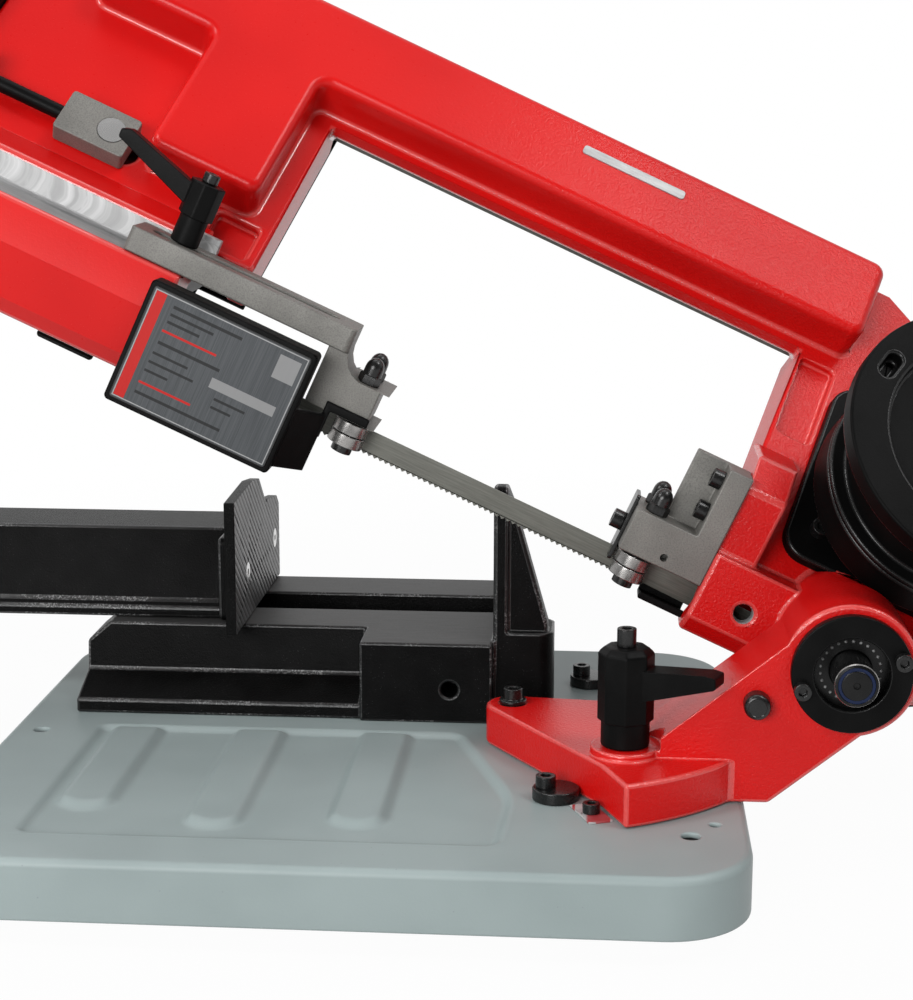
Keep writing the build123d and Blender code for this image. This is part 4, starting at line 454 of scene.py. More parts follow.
def alone(piece):
    bpy.ops.object.select_all(action="DESELECT")
    piece.select_set(True)
    bpy.context.view_layer.objects.active = piece


def applyPlace():
    bpy.ops.object.transform_apply(location=True, rotation=True, scale=True)


# a new piece from one of the plain forms
def plainForm(name, addForm, **settings):
    bpy.ops.object.select_all(action="DESELECT")
    addForm(**settings)
    piece = bpy.context.active_object
    piece.name = name
    applyPlace()
    return piece


def editing(piece):
    alone(piece)
    bpy.ops.object.mode_set(mode="EDIT")
    bpy.ops.mesh.select_all(action="SELECT")


def done():
    bpy.ops.object.mode_set(mode="OBJECT")


# neighbouring faces that lie in one plane
def flatGroups(shape):
    seen = set()
    flats = []
    for face in shape.faces:
        if face in seen:
            continue
        group = {face: True}
        queue = [face]
        start = face.verts[0].co
        while queue:
            for edge in queue.pop().edges:
                for other in edge.link_faces:
                    level = abs((other.verts[0].co - start).dot(face.normal)) < 0.01 * mm
                    fresh = other not in seen and other not in group
                    if level and fresh and other.normal.dot(face.normal) > 0.99999:
                        group[other] = True
                        queue.append(other)
        seen.update(group)
        if len(group) > 1 or len(face.verts) > 4:
            flats.append((face.normal.copy(), group))
    return flats


def rimLoops(group):
    loops = [loop for face in group for loop in face.loops]
    return [loop for loop in loops if sum(face in group for face in loop.edge.link_faces) == 1]


# how far each rim of a flat is from the rims in front of it
def rimClearance(normal, loops):
    start = np.array([loop.vert.co for loop in loops])
    stop = np.array([loop.link_loop_next.vert.co for loop in loops])
    run = stop - start
    length = np.maximum(np.linalg.norm(run, axis=1), 1e-9)
    inward = np.cross(np.array(normal), run / length[:, None])
    names = np.array([[loop.vert.index, loop.link_loop_next.vert.index] for loop in loops])
    nearest = np.full(len(loops), 1.0)
    middle = (start + stop) / 2
    for index in range(len(loops)):
        apart = ~(np.isin(names, names[index]).any(axis=1))
        for spots in (start[apart], stop[apart]):
            part = np.clip((spots - start[index]) @ run[index] / length[index] ** 2, 0, 1)
            away = spots - start[index] - part[:, None] * run[index]
            nearest[index] = min(nearest[index], inFront(away, inward[index]))
        part = np.clip(((middle[index] - start[apart]) * run[apart]).sum(axis=1) / length[apart] ** 2, 0, 1)
        away = start[apart] + part[:, None] * run[apart] - middle[index]
        nearest[index] = min(nearest[index], inFront(away, inward[index]))
    return nearest


def inFront(away, inward):
    far = np.linalg.norm(away, axis=1)
    ahead = far[(away @ inward) > 0.5 * far]
    return ahead.min() if len(ahead) else 1.0


# a sharp edge gets a round no wider than the faces, corners and curves beside it allow
def edgeRoom(edge, sharp):
    length = max(edge.calc_length(), 1e-7)
    room = 1.0
    for loop in edge.link_loops:
        room = min(room, 0.36 * loop.face.calc_area() / length)
        taken = 0.0
        after = loop.link_loop_next
        for corner, side in ((loop, loop.link_loop_prev.edge), (after, after.edge)):
            inside = corner.calc_angle()
            if not corner.is_convex:
                inside = 2 * math.pi - inside
            if side in sharp:
                taken += 1 / math.tan(max(inside, 0.02) / 2)
            elif len(loop.face.verts) < 5:
                room = min(room, 0.45 * side.calc_length() * max(abs(math.sin(inside)), 0.35))
        if taken > 0:
            room = min(room, 0.45 * length / taken)
    return room


def roundEdges(piece, widest, segments=2, sharpest=30, special=None, ownFinish=False, longRun=1.0):
    shape = bmesh.new()
    shape.from_mesh(piece.data)
    shape.normal_update()
    shape.verts.index_update()
    limit = math.radians(sharpest)
    sharp = {}
    for edge in shape.edges:
        if len(edge.link_faces) == 2 and edge.calc_face_angle(0) > limit:
            sharp[edge] = True
    widths = {}
    for edge in sharp:
        wish = special(edge, widest) if special else widest
        widths[edge] = min(wish, edgeRoom(edge, sharp))
    for normal, group in flatGroups(shape):
        loops = rimLoops(group)
        for loop, near in zip(loops, rimClearance(normal, loops)):
            if loop.edge in sharp:
                widths[loop.edge] = min(widths[loop.edge], 0.42 * near)
    for turn in range(4):                       # widths change slowly along an edge
        for edge in sharp:
            for vert in edge.verts:
                beside = [other for other in vert.link_edges if other in sharp and other is not edge]
                if len(beside) == 1 and edge.calc_length() < max(longRun, 4 * beside[0].calc_length()):
                    widths[edge] = min(widths[edge], 1.3 * widths[beside[0]])
    most = max(list(widths.values()) + [1e-6])
    weights = [widths.get(edge, 0.0) / most for edge in shape.edges]
    shape.free()
    marks = piece.data.attributes.new("bevel_weight_edge", "FLOAT", "EDGE")
    marks.data.foreach_set("value", weights)
    bevel = piece.modifiers.new("rounds", "BEVEL")
    bevel.limit_method = "WEIGHT"
    bevel.width = most
    bevel.segments = segments
    bevel.use_clamp_overlap = False
    bevel.loop_slide = False
    bevel.miter_outer = "MITER_ARC"
    bevel.material = 1 if ownFinish else -1
    alone(piece)
    bpy.ops.object.modifier_apply(modifier="rounds")
    refillFlats(piece)


# the triangles whose middle has an odd number of rims to its right
def insideRims(points, fills, rims):
    spots = np.array(points)
    middles = np.array([spots[fill].mean(axis=0) for fill in fills])
    x0, y0, x1, y1 = rims.T
    spanned = (y0[None] > middles[:, 1:]) != (y1[None] > middles[:, 1:])
    rise = np.where(np.abs(y1 - y0) < 1e-12, 1e-12, y1 - y0)
    crossing = x0[None] + (middles[:, 1:] - y0[None]) * (x1 - x0)[None] / rise[None]
    odd = (spanned & (crossing > middles[:, :1])).sum(axis=1) % 2 == 1
    return [fill for fill, inside in zip(fills, odd) if inside]


# each flat is filled afresh inside its rims, so no cut across it runs over a round
def refillFlats(piece):
    shape = bmesh.new()
    shape.from_mesh(piece.data)
    shape.normal_update()
    for normal, group in flatGroups(shape):
        finish = next(iter(group)).material_index
        rims = [loop.edge for loop in rimLoops(group)]
        corners = list(dict.fromkeys(vert for edge in rims for vert in edge.verts))
        number = {vert: index for index, vert in enumerate(corners)}
        right = normal.orthogonal().normalized()
        up = normal.cross(right)
        base = corners[0].co.copy()
        flat = [Vector(((vert.co - base).dot(right), (vert.co - base).dot(up))) for vert in corners]
        cuts = [(number[edge.verts[0]], number[edge.verts[1]]) for edge in rims]
        filling = delaunay_2d_cdt(flat, cuts, [], 0, 1e-7)
        points, fills, oldPoints = filling[0], filling[2], filling[3]
        fills = insideRims(points, fills, np.array([[*flat[a], *flat[b]] for a, b in cuts]))
        spots = np.array(points)
        filled = sum(abs(np.cross(spots[b] - spots[a], spots[c] - spots[a])) / 2 for a, b, c in fills)
        whole = sum(face.calc_area() for face in group)
        if abs(filled - whole) > 0.04 * whole:
            print(piece.name, "keeps a flat of", round(whole * 1e6), "not", round(filled * 1e6))
            continue
        bmesh.ops.delete(shape, geom=list(group), context="FACES_ONLY")
        kept = [corners[old[0]] if old else shape.verts.new(base + right * point.x + up * point.y)
                for point, old in zip(points, oldPoints)]
        for fill in fills:
            made = shape.faces.new([kept[index] for index in fill])
            made.material_index = finish
            made.normal_update()
            if made.normal.dot(normal) < 0:
                made.normal_flip()
    bmesh.ops.delete(shape, geom=[edge for edge in shape.edges if not edge.link_faces], context="EDGES")
    bmesh.ops.delete(shape, geom=[vert for vert in shape.verts if not vert.link_faces], context="VERTS")
    shape.to_mesh(piece.data)
    shape.free()


def smooth(piece, angle=38):
    alone(piece)
    bpy.ops.object.shade_smooth_by_angle(angle=math.radians(angle))
    weigh = piece.modifiers.new("flats", "WEIGHTED_NORMAL")
    weigh.keep_sharp = True
    weigh.weight = 60
    bpy.ops.object.modifier_apply(modifier="flats")


def mergeFlats(piece):
    editing(piece)
    bpy.ops.mesh.remove_doubles(threshold=0.02 * mm)
    bpy.ops.mesh.select_all(action="SELECT")
    bpy.ops.mesh.dissolve_limited(angle_limit=math.radians(0.6))
    done()


def copied(piece, name):
    again = bpy.data.objects.new(name, piece.data.copy())
    bpy.context.scene.collection.objects.link(again)
    return again


def copyNode(node):
    piece = copied(nodes[node], node + "_dressed")
    mergeFlats(piece)
    return piece


def stand(piece, node):
    piece.data.materials.clear()
    piece.data.materials.append(finishes[slotOf[node]])
    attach(piece, bodyOf[node])
    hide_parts(node)
    return piece


def dress(node, soft, segments=2, sharpest=30, special=None, angle=38):
    piece = stand(copyNode(node), node)
    if node in reshaped:
        movePoints(piece, reshaped[node])
    if node == "base_tray":                     # its flattened ribs join the panel
        mergeFlats(piece)
    rim = rimFinish.get(slotOf[node])
    if rim:
        piece.data.materials.append(finishes[rim])
    roundEdges(piece, soft * mm, segments, sharpest, special, bool(rim), longRuns.get(node, 1.0))
    smooth(piece, angle)
    return piece


def secondFinish(piece, finish, test):
    piece.data.materials.append(finishes[finish])
    number = len(piece.data.materials) - 1
    count = 0
    for face in piece.data.polygons:
        if test(face.center, face.normal):
            face.material_index = number
            count += 1
    print(piece.name, "faces with", finish, count)


def bowPlace(point):
    away = (point - bowStart) / mm
    return away.dot(bowAlong), -away.dot(toFront), away.dot(bowUp)


# places on the copied pieces that differ from the plain ones, in millimetres
armBands = {"right": -207, "near": 0.1, "moves": (((-30.0, 28.0), (-31.0, 19.5)),
                                                  ((-30.0, -7.5), (-27.5, -7.5)),
                                                  ((-22.0, -17.0), (-20.5, -17.0)))}
coverWindow = {"left": -182, "right": 103, "top": 181, "lift": 12, "sides": (102.5, 98), "shift": 4,
               "near": 0.3}
guideHead = {"from": -87, "back": 6}
plainRibs = {"x": (-141, 30), "y": (-144, -3), "above": 39.6, "floor": 39.5}


def bandedArm(point):
    u, y, w = bowPlace(point)
    near = armBands["near"]
    for (oldY, oldW), (newY, newW) in armBands["moves"]:
        if u < armBands["right"] and abs(y - oldY) < near and abs(w - oldW) < near:
            return bowPoint(u, newY, newW)
    return None


def openCover(point):
    window = coverWindow
    away = (point - bowStart) / mm
    u, e = away.dot(bowAlong), away.dot(wheelUp)
    if window["left"] < u < window["right"] and abs(e - window["top"]) < window["near"]:
        point = point + wheelUp * window["lift"] * mm
    if any(abs(u - side) < window["near"] for side in window["sides"]):
        point = point + bowAlong * window["shift"] * mm
    return point


def shortHead(point):
    onHead = bowPlace(point)[0] > guideHead["from"]
    return point - bowAlong * guideHead["back"] * mm if onHead else None


def plainPanel(point):
    x, y, z = point / mm
    inside = plainRibs["x"][0] < x < plainRibs["x"][1] and plainRibs["y"][0] < y < plainRibs["y"][1]
    onRib = inside and z > plainRibs["above"]
    return Vector((point.x, point.y, plainRibs["floor"] * mm)) if onRib else None


reshaped = {"bow_frame": bandedArm, "rear_cover": openCover, "guide_bar": shortHead,
            "base_tray": plainPanel}


def movePoints(piece, place):
    moved = set()
    for vert in piece.data.vertices:
        there = place(vert.co.copy())
        if there is not None and (there - vert.co).length > 0.01 * mm:
            vert.co = there
            moved.add(vert.index)
    for edge in piece.data.edges:
        if edge.vertices[0] in moved and edge.vertices[1] in moved:
            edge.use_edge_sharp = True
    print(piece.name, "points moved", len(moved))


# edges from this length on keep their width beside short ones
longRuns = {"swivel_bracket": 20 * mm}
# edge rounds get these finishes: the red and motor ones carry painted highlights, the cast one wear with
# painted glints
rimFinish = {"red_paint": "red_edge", "black_casting": "cast_edge", "black_motor": "motor_edge"}
castings = {"bow_frame": 2.4, "swivel_bracket": 2.0, "moving_jaw": 1.6, "base_tray": 3.2,
            "guide_bar": 1.0, "right_guide_block": 0.9, "gearbox_housing": 1.6, "motor_housing": 1.6}
plainRounds = {"jaw_plate": 0.6, "mitre_lever": 1.0, "guide_lever": 0.9, "blade_guard": 1.2, "handle": 1.5,
               "rear_cover": 1.0, "bearing_cap": 0.8, "handwheel": 1.2, "handwheel_grip": 1.5,
               "tension_knob": 1.2, "tension_slide": 0.8, "trigger": 0.8, "wiper_plate": 0.35,
               "blade_channel": 0.9, "data_plate": 0.25, "angle_scale": 0.2, "pivot_screw": 0.5,
               "mitre_lever_screw": 0.4, "stop_screws": 0.4, "stop_cam_front": 0.7, "stop_cam_rear": 0.7,
               "cap_screws": 0.4, "gearbox_screws": 0.4, "cover_screws": 0.4, "right_guide_screws": 0.4,
               "guide_lever_screw": 0.4, "mitre_stud": 0.4, "guide_pins_left": 0.3, "guide_pins_right": 0.3,
               "jaw_plate_screws": 0.25, "vise_screw": 0.6, "vise_nut": 0.8, "hinge_shaft": 0.8,
               "hinge_bearings": 0.6, "roller_left_front": 0.5, "roller_left_rear": 0.5,
               "roller_right_front": 0.5, "roller_right_rear": 0.5, "rubber_feet": 1.5, "bed_screws": 0.3}
fixedJaw = {"left": 0.062, "low": 0.090, "soft": 4.5}


# the fixed jaw is cast with softer corners than the bed
def bedRounds(edge, widest):
    first, second = edge.verts
    farLeft = min(first.co.x, second.co.x)
    highest = max(first.co.z, second.co.z)
    inJaw = farLeft > fixedJaw["left"] and highest > fixedJaw["low"]
    return fixedJaw["soft"] * mm if inJaw else widest


dressed = {"vise_bed": dress("vise_bed", 1.6, 4, special=bedRounds)}
for node, soft in castings.items():
    dressed[node] = dress(node, soft, 3)
for node, soft in plainRounds.items():
    dressed[node] = dress(node, soft)
print("dressed", len(dressed), "of", len(nodes))


# where second finishes lie, in millimetres
wallZone = {"right": -200, "front": 5, "low": 40, "high": 60}
seatZone = {"right": -180, "top": 41, "y": (-25, 6), "cornerY": (1, 6), "cornerW": (40, 45)}
footHole = {"u": 124, "w": 7, "reach": 5.3, "deep": (-21, -8)}
bedTop = 87
capHole = 18.9
shaftEdge = 9.6
closeBy = 0.6
aligned = 0.98                                  # for normals that point along an axis


def within(value, ends):
    return ends[0] < value < ends[1]


def milledWall(centre, normal):
    u, y, w = bowPlace(centre)
    facing = normal.dot(toFront) > aligned and abs(y - wallZone["front"]) < closeBy
    return facing and u < wallZone["right"] and wallZone["low"] < w < wallZone["high"]


def milledSeat(centre, normal):
    u, y, w = bowPlace(centre)
    up, front = normal.dot(bowUp), normal.dot(toFront)
    flat = up > aligned and abs(w - seatZone["top"]) < closeBy and within(y, seatZone["y"])
    corner = min(up, front) > 0.2 and within(w, seatZone["cornerW"]) and within(y, seatZone["cornerY"])
    return u < seatZone["right"] and (flat or corner)


def groundFace(centre, normal):
    return normal.z > aligned and abs(centre.z / mm - bedTop) < closeBy


def plateSide(centre, normal):
    return normal.x < 0.9


def footHoleWall(centre, normal):
    u, y, w = bowPlace(centre)
    inHole = math.hypot(u - footHole["u"], w - footHole["w"]) < footHole["reach"]
    return inHole and within(y, footHole["deep"]) and abs(normal.y) < 0.3


def hingeReach(centre):
    return math.hypot(centre.x - hingeLine.x, centre.z - hingeLine.z) / mm


def capRim(centre, normal):
    return hingeReach(centre) < capHole and -0.95 < normal.y < -0.2


def shaftRim(centre, normal):
    return hingeReach(centre) > shaftEdge and normal.y < -0.1


secondFinish(dressed["bow_frame"], "milled_metal", milledWall)
secondFinish(dressed["bow_frame"], "seat_metal", milledSeat)
# the inner wall of the foot hole takes the light strip metal, lighter than the red round it
secondFinish(dressed["bow_frame"], "strip_metal", footHoleWall)
secondFinish(dressed["vise_bed"], "ground_iron", groundFace)
secondFinish(dressed["jaw_plate"], "black_casting", plateSide)
# the lighter motor finish on the rim of the cap's bore is a painted highlight
secondFinish(dressed["bearing_cap"], "motor_edge", capRim)
for node in ("hinge_shaft", "hinge_bearings"):
    dressed[node].data.materials[0] = finishes["hinge_steel"]
for node in ("roller_left_front", "roller_left_rear", "roller_right_front", "roller_right_rear"):
    dressed[node].data.materials[0] = finishes["roller_steel"]
dressed["wiper_plate"].data.materials[0] = finishes["black_screws"]


# a round piece is drawn up from a circle, ring by ring
def turned(name, rings, sides=32):
    radius, height = rings[0]
    piece = plainForm(name, bpy.ops.mesh.primitive_circle_add, vertices=sides, radius=radius * mm,
                      fill_type="NGON", location=(0, 0, height * mm))
    editing(piece)
    for (radius, height), (wider, higher) in zip(rings, rings[1:]):
        bpy.ops.mesh.extrude_region_move(TRANSFORM_OT_translate={"value": (0, 0, (higher - height) * mm)})
        grow = wider / radius
        bpy.ops.transform.resize(value=(grow, grow, 1), center_override=(0, 0, higher * mm))
    bpy.ops.mesh.select_all(action="SELECT")
    bpy.ops.mesh.normals_make_consistent(inside=False)
    done()
    return piece


def settle(piece, place, axis):
    alone(piece)
    piece.location = place
    piece.rotation_euler = Vector(axis).to_track_quat("Z", "Y").to_euler()
    applyPlace()


def joined(name, parts):
    bpy.ops.object.select_all(action="DESELECT")
    for part in parts:
        part.select_set(True)
    bpy.context.view_layer.objects.active = parts[0]
    bpy.ops.object.join()
    parts[0].name = name
    return parts[0]


# copies of one piece, joined into one
def manyOf(piece, name, places, axis):
    parts = []
    for place in places:
        again = copied(piece, name)
        settle(again, place, axis)
        parts.append(again)
    return joined(name, parts)


def cut(piece, cutter):
    trim = piece.modifiers.new("trim", "BOOLEAN")
    trim.operation = "DIFFERENCE"
    trim.solver = "EXACT"
    trim.use_hole_tolerant = True
    trim.object = cutter
    alone(piece)
    bpy.ops.object.modifier_apply(modifier="trim")
    bpy.data.objects.remove(cutter)
    smooth(piece)


# domed nuts on the roller pins
acornNut = {"hex": ((5.6, 0.0), (6.0, 0.4), (6.0, 4.3), (5.4, 5.1)),
            "dome": ((4.9, 4.0), (4.9, 8.4), (4.75, 9.8), (4.3, 11.2), (3.5, 12.4), (2.4, 13.4),
                     (1.1, 13.9), (0.3, 14.1)),
            "acorn_nuts_left": (-100.5, 30.0), "acorn_nuts_right": (62.0, 33.0), "pinY": 10.125}


def acornNuts():
    nut = joined("nut", [turned("hex", acornNut["hex"], 6), turned("dome", acornNut["dome"], 28)])
    for node in ("acorn_nuts_left", "acorn_nuts_right"):
        u, low = acornNut[node]
        places = [bowPoint(u, side * acornNut["pinY"], low) for side in (-1, 1)]
        smooth(stand(manyOf(nut, node + "_dressed", places, bowUp), node), 34)
    bpy.data.objects.remove(nut)


acornNuts()

# plain domed bolt head on the ear, in front of the bolt's shank
earBolt = {"rings": ((4.0, -28.0), (4.0, 0.0), (6.5, 0.0), (6.5, 6.6), (6.2, 7.7), (5.5, 8.5),
                     (4.6, 8.7), (4.3, 8.4), (2.4, 8.6), (0.4, 8.7)), "head": 9.0}
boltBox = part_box("ear_bolt")
boltSpot = (Vector(boltBox[0]) + Vector(boltBox[1])) / 2
boltSpot.y = boltBox[0][1] + earBolt["head"] * mm
boltPiece = turned("ear_bolt_dressed", earBolt["rings"], 36)
settle(boltPiece, boltSpot, toFront)
smooth(stand(boltPiece, "ear_bolt"))

# turned end of the hinge shaft
shaftEnd = {"rings": ((9.9, -0.5), (9.9, 0.2), (10.5, 0.4), (10.6, 0.9), (10.2, 1.6), (9.0, 1.9),
                      (8.6, 1.4), (7.4, 1.4), (7.1, 1.9), (6.7, 2.1), (1.7, 2.1), (1.3, 1.4),
                      (0.3, 1.2))}
endSpot = hingeLine.copy()
endSpot.y = shaftBox[0][1]
endPiece = turned("hingeShaftEnd", shaftEnd["rings"], 40)
settle(endPiece, endSpot, toFront)
endPiece.data.materials.append(finishes["hinge_steel"])
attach(endPiece, bodyOf["hinge_shaft"])
# the outer rim of the shaft end takes the lighter roller steel: a turned chamfer, with a painted highlight
# along it
secondFinish(endPiece, "roller_steel", shaftRim)
smooth(endPiece)

# balls of the hinge bearing, seen between the cap and the shaft
hingeBalls = {"count": 25, "reach": 14.5,
              "rings": ((0.3, -0.78), (0.55, -0.6), (0.8, 0.0), (0.55, 0.6), (0.3, 0.78))}


def addBalls():
    ball = turned("ball", hingeBalls["rings"], 12)
    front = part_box("hinge_bearings")[0][1]
    places = []
    for number in range(hingeBalls["count"]):
        turn = 2 * math.pi * number / hingeBalls["count"]
        shift = Vector((math.cos(turn), 0, math.sin(turn))) * hingeBalls["reach"] * mm
        places.append(Vector((hingeLine.x, front, hingeLine.z)) + shift)
    piece = manyOf(ball, "hingeBalls", places, toFront)
    bpy.data.objects.remove(ball)
    piece.data.materials.append(finishes["seat_metal"])
    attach(piece, bodyOf["hinge_bearings"])
    smooth(piece)


addBalls()
print("turned pieces made")

# row of teeth under the straight run of the blade
bladeTeeth = {"pitch": 3.2, "depth": 1.4, "count": 80, "left": -182.5, "thick": 0.65, "low": -6.5,
              "root": 0.2, "run": (-184.6, 75.6)}


def pickEdges(piece, test):
    shape = bmesh.from_edit_mesh(piece.data)
    for edge in shape.edges:
        edge.select_set(test(edge.verts[0].co, edge.verts[1].co))
    bmesh.update_edit_mesh(piece.data)


def lengthwise(first, second):
    return abs((second - first).normalized().x) > 0.99


# a block about the origin, with its three sizes in millimetres
def block(name, *sizes):
    piece = plainForm(name, bpy.ops.mesh.primitive_cube_add, size=1)
    piece.scale = [size * mm for size in sizes]
    applyPlace()
    return piece


# turns a piece with the bow and moves it to its place there
def onBow(piece, u, y, w):
    alone(piece)
    piece.rotation_euler = (0, tilt, 0)
    piece.location = bowPoint(u, y, w)
    applyPlace()


def toothRow():
    row = bladeTeeth
    long = row["pitch"] * row["count"]
    piece = block("toothRow", long, row["thick"], row["depth"] + 2 * row["root"])
    editing(piece)
    bpy.ops.mesh.select_mode(type="EDGE")
    for cuts in (15, 9):
        pickEdges(piece, lengthwise)
        bpy.ops.mesh.subdivide(number_cuts=cuts)
    half = row["pitch"] / 2

    def gullet(first, second):
        steps = [round((spot.x / mm + long / 2) / half) for spot in (first, second)]
        return first.z < 0 and second.z < 0 and steps[0] == steps[1] and steps[0] % 2 == 0

    pickEdges(piece, gullet)
    bpy.ops.transform.translate(value=(0, 0, row["depth"] * mm))
    bpy.ops.mesh.select_mode(type="VERT")
    done()
    onBow(piece, row["left"] + long / 2, 0, row["low"] + row["depth"] / 2 + row["root"])
    return piece


def toothedBlade():
    band = stand(copyNode("blade"), "blade")
    lifted = 0
    for vert in band.data.vertices:
        u, y, w = bowPlace(vert.co)
        lowEdge = w < bladeTeeth["low"] + bladeTeeth["root"] and abs(y) < 1
        if lowEdge and within(u, bladeTeeth["run"]):
            vert.co += bowUp * bladeTeeth["depth"] * mm
            lifted += 1
    print("blade points lifted", lifted)
    row = toothRow()
    row.data.materials.append(finishes["blade_steel"])
    joined("blade_dressed", [band, row])
    smooth(band)


toothedBlade()

# slanting grooves across the face of the jaw plate
jawGrooves = {"slope": 37, "pitch": 4.3, "count": 45, "shift": 1.37, "radius": 0.42, "long": 260}


def cutGrooves(piece):
    low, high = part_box("jaw_plate")
    slope = math.radians(jawGrooves["slope"])
    run = Vector((0, math.cos(slope), -math.sin(slope)))
    rise = Vector((0, math.sin(slope), math.cos(slope)))
    middle = Vector((high[0] + 0.1 * mm, (low[1] + high[1]) / 2, (low[2] + high[2]) / 2))
    bar = plainForm("groove", bpy.ops.mesh.primitive_cylinder_add, vertices=4,
                    radius=jawGrooves["radius"] * mm, depth=jawGrooves["long"] * mm)
    places = []
    for number in range(jawGrooves["count"]):
        shift = (number - jawGrooves["count"] // 2) * jawGrooves["pitch"] + jawGrooves["shift"]
        places.append(middle + rise * shift * mm)
    cut(piece, manyOf(bar, "grooves", places, run))
    bpy.data.objects.remove(bar)


cutGrooves(dressed["jaw_plate"])

# small hole in the front of the right guide block
blockHole = {"u": 74.8, "w": 15.6, "rings": ((2.1, -9.0), (2.1, 1.0))}
holeCutter = turned("holeCutter", blockHole["rings"], 20)
settle(holeCutter, bowPoint(blockHole["u"], -20, blockHole["w"]), toFront)
cut(dressed["right_guide_block"], holeCutter)

# bright strip on the beam
beamStrip = {"left": -52.0, "right": 9.0, "low": 193.2, "high": 198.8, "face": 48.0, "thick": 0.8,
             "corner": 1.6, "rim": 0.25}


def addStrip():
    strip = beamStrip
    wide = strip["right"] - strip["left"]
    piece = block("beamStrip", wide, strip["high"] - strip["low"], 2 * strip["thick"])
    editing(piece)
    bpy.ops.mesh.select_mode(type="EDGE")
    pickEdges(piece, lambda first, second: abs((second - first).normalized().z) > 0.99)
    bpy.ops.mesh.bevel(offset=strip["corner"] * mm, segments=4)
    pickEdges(piece, lambda first, second: first.z > 0 and second.z > 0)
    bpy.ops.mesh.bevel(offset=strip["rim"] * mm, segments=2)
    bpy.ops.mesh.select_mode(type="VERT")
    done()
    piece.matrix_world = Matrix((bowAlong, wheelUp, wheelOut)).transposed().to_4x4()
    middle = (strip["left"] + strip["right"]) / 2
    piece.location = wheelPoint(middle, (strip["low"] + strip["high"]) / 2, strip["face"])
    alone(piece)
    applyPlace()
    piece.data.materials.append(finishes["strip_metal"])
    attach(piece, "bow")
    smooth(piece)


addStrip()

# end of the milled wall, beside the guide lever
wallEnd = {"left": -214.0, "right": -200.5, "front": 5.0, "rear": 11.0, "low": 44.0, "high": 61.5,
           "rim": 0.6}


def addWallEnd():
    sides = [(wallEnd[first], wallEnd[last]) for first, last in
             (("left", "right"), ("front", "rear"), ("low", "high"))]
    piece = block("wallEnd", *[last - first for first, last in sides])
    editing(piece)
    bpy.ops.mesh.bevel(offset=wallEnd["rim"] * mm, segments=2)
    done()
    onBow(piece, *[(first + last) / 2 for first, last in sides])
    piece.data.materials.append(finishes["milled_metal"])
    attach(piece, "bow")
    smooth(piece)


addWallEnd()

# pressed panel and ribs of the tray, with soft flanks laid over the plain ones
trayPanel = {"corners": ((-150, -152), (-150, 14), (50, 14), (84, -86), (80, -152)), "round": 8, "lap": 1.8,
             "top": 42.04, "floor": 39.52, "wall": 5.5, "ribTop": 43.03, "end": 6, "under": 39.0,
             "ribs": ((-126.5, -108), (-59.0, -129), (9.5, -123)), "half": {"left": 11.0, "right": 9.0},
             "bulge": 5.0, "flank": {"left": 5.0, "right": 7.5, "near": 9.0, "end": 8.0},
             "columns": 150, "rows": 110}


def easeDown(value):
    part = np.clip(value, 0, 1)
    return 1 - part * part * (3 - 2 * part)


def panelHeight(x, y):
    panel = trayPanel
    corners = panel["corners"]
    near = []
    for (x0, y0), (x1, y1) in zip(corners, corners[1:] + corners[:1]):
        long = math.hypot(x1 - x0, y1 - y0)
        near.append(((x - x0) * (y1 - y0) - (y - y0) * (x1 - x0)) / long)
    short = np.maximum(panel["round"] - np.array(near), 0)
    inside = panel["round"] - np.sqrt((short ** 2).sum(axis=0))
    height = panel["floor"] + (panel["top"] - panel["floor"]) * easeDown(inside / panel["wall"])
    flank = panel["flank"]
    half = panel["half"]
    for middle, frontEnd in panel["ribs"]:
        toLeft = (middle - half["left"] - x) / flank["left"]
        wide = np.maximum(toLeft, (x - middle - half["right"]) / flank["right"])
        curve = panel["bulge"] * np.clip(np.abs(x - middle) / half["left"], 0, 1.3) ** 2
        deep = np.maximum((frontEnd + curve - y) / flank["near"], (y - panel["end"]) / flank["end"])
        away = np.hypot(np.maximum(wide, 0), np.maximum(deep, 0))
        rib = panel["floor"] + (panel["ribTop"] - panel["floor"]) * easeDown(away)
        height = np.maximum(height, rib)
    return height


def addPanel():
    panel = trayPanel
    piece = plainForm("trayPanel", bpy.ops.mesh.primitive_grid_add, x_subdivisions=panel["columns"],
                      y_subdivisions=panel["rows"], size=1)
    spots = np.zeros(len(piece.data.vertices) * 3)
    piece.data.vertices.foreach_get("co", spots)
    spots = spots.reshape(-1, 3)
    (left, low), _, (topX, topY), (kneeX, kneeY), (lastX, lastY) = panel["corners"]
    y = low - panel["lap"] + (spots[:, 1] + 0.5) * (topY - low + 2 * panel["lap"])
    right = np.interp(y, (lastY, kneeY, topY), (lastX, kneeX, topX)) + panel["lap"]
    x = left - panel["lap"] + (spots[:, 0] + 0.5) * (right - left + panel["lap"])
    shaped = np.stack((x, y, panelHeight(x, y)), axis=1) * mm
    piece.data.vertices.foreach_set("co", shaped.ravel())
    editing(piece)
    bpy.ops.mesh.extrude_region_move(TRANSFORM_OT_translate={"value": (0, 0, -mm)})
    bpy.ops.transform.resize(value=(1, 1, 0), center_override=(0, 0, panel["under"] * mm))
    bpy.ops.mesh.select_all(action="SELECT")
    bpy.ops.mesh.normals_make_consistent(inside=False)
    done()
    piece.data.materials.append(finishes["tray_paint"])
    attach(piece, "base")
    alone(piece)
    bpy.ops.object.shade_smooth_by_angle(angle=math.radians(50))


addPanel()
for node, thing in nodes.items():
    if node not in dressed and not thing.hide_render:
        thing.material_slots[0].material = finishes[slotOf[node]]
print("small pieces made")

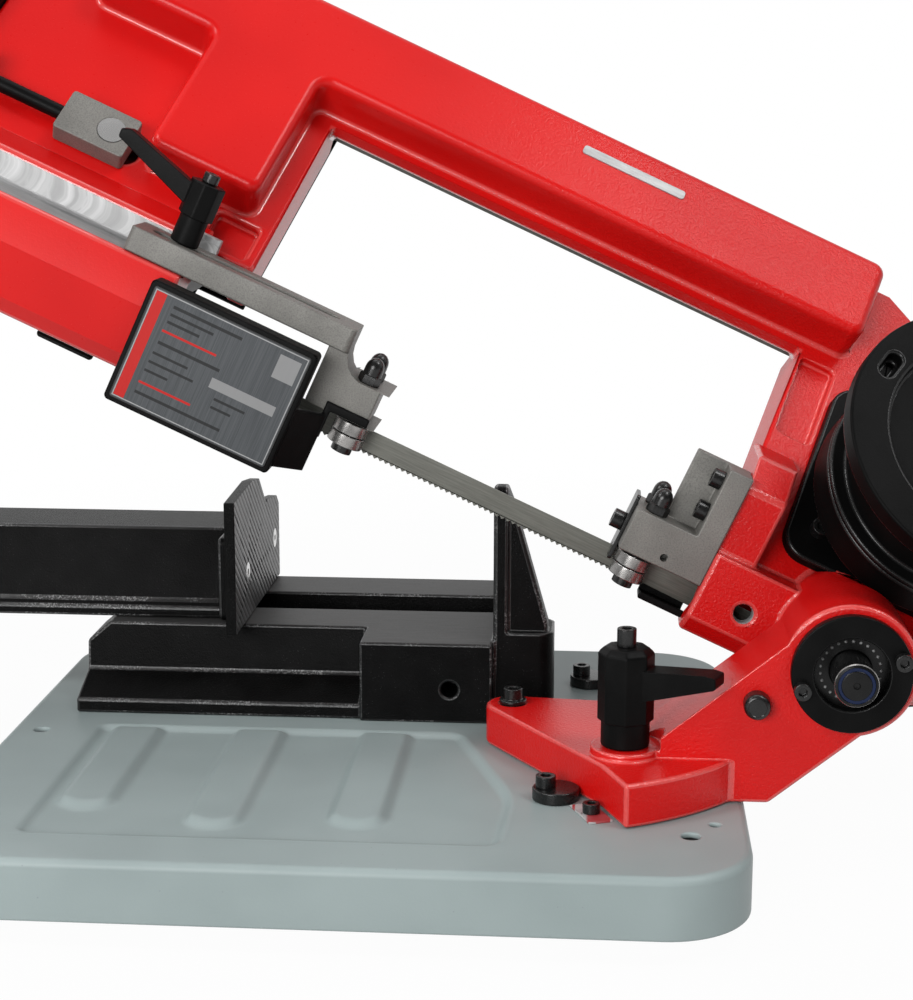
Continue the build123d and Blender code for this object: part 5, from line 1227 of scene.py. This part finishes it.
# floor and light
stageSizes = {"floor": 6.0, "nearGlow": 0.97, "near": 0.5, "far": 1.1}
roomLight = {"back": (0.26, 0.265, 0.275, 1), "front": (0.2, 0.2, 0.205, 1), "dark": (0.08, 0.08, 0.08, 1)}
lamps = {
    "overhead": {"place": (0.0, 0.3, 1.9), "aim": (0.05, 0.0, 0.2), "size": (0.8, 0.5), "watts": 3},
    "front": {"place": (-0.65, -2.1, 0.8), "aim": (0.0, 0.0, 0.2), "size": (1.2, 0.8), "watts": 37},
    "leftHigh": {"place": (-1.03, -0.6, 1.43), "aim": (0.1, 0.0, 0.2), "size": (0.4, 0.4), "watts": 9},
    "rightHigh": {"place": (1.21, -0.5, 1.83), "aim": (0.1, 0.0, 0.2), "size": (0.6, 0.6), "watts": 13},
}


def addLamp(name, lamp):
    light = bpy.data.lights.new(name, "AREA")
    light.shape = "RECTANGLE"
    light.size, light.size_y = lamp["size"]
    light.energy = lamp["watts"]
    holder = bpy.data.objects.new(name, light)
    holder.location = lamp["place"]
    aim = Vector(lamp["aim"]) - Vector(lamp["place"])
    holder.rotation_euler = aim.to_track_quat("-Z", "Y").to_euler()
    bpy.context.scene.collection.objects.link(holder)


# camera, mirror and glass rays see the white room
def seenRays(nodes):
    camera, glossy, through = [nodes.node("LightPath", {}, {}, "Is " + kind + " Ray")
                               for kind in ("Camera", "Glossy", "Transmission")]
    return camera, glossy.most(through)


def whiteStage():
    floor = plainForm("paleFloor", bpy.ops.mesh.primitive_plane_add, size=stageSizes["floor"],
                      location=(0, 0, cadBox[0][2] - 0.2 * mm))
    pale = Finish("paleFloor", Roughness=0.9)
    soft = pale.noise(3)
    pale.set(Base_Color=pale.blend(soft, grey(0.5), grey(0.53)))
    away = pale.reach((0, 0, 1), (0.05, 0, 0))
    near = stageSizes["nearGlow"]
    camera, mirror = seenRays(pale)
    share = camera.most(mirror) * (near + away.span(stageSizes["near"], stageSizes["far"]) * (1 - near))
    glow = pale.node("Emission", {}, {"Color": (1, 1, 1, 1), "Strength": 1.0})
    mixed = pale.node("MixShader", {}, {0: share, 1: Wire(pale, pale.shader.outputs[0]), 2: glow})
    pale.tree.links.new(mixed.socket, pale.tree.nodes["Material Output"].inputs["Surface"])
    floor.data.materials.append(pale.material)


# the room is white behind the saw and dark behind the camera
def paleWorld():
    world = bpy.data.worlds.new("paleRoom")
    bpy.context.scene.world = world
    world.use_nodes = True
    room = Nodes(world.node_tree)
    way = room.node("TexCoord", {}, {}, "Generated")
    depth = room.node("SeparateXYZ", {}, {0: way}, "Y")
    front = depth.span(0.1, -0.75)
    camera, mirror = seenRays(room)
    lit = room.blend(front, roomLight["back"], roomLight["front"])
    shiny = room.blend(front, (1, 1, 1, 1), roomLight["dark"])
    shown = room.blend(camera, room.blend(mirror, lit, shiny), (1, 1, 1, 1))
    back = world.node_tree.nodes["Background"]
    world.node_tree.links.new(shown.socket, back.inputs["Color"])


whiteStage()
paleWorld()
for lampName, lamp in lamps.items():
    addLamp(lampName, lamp)
bpy.context.scene.view_settings.view_transform = "Standard"
print("stage and light set")
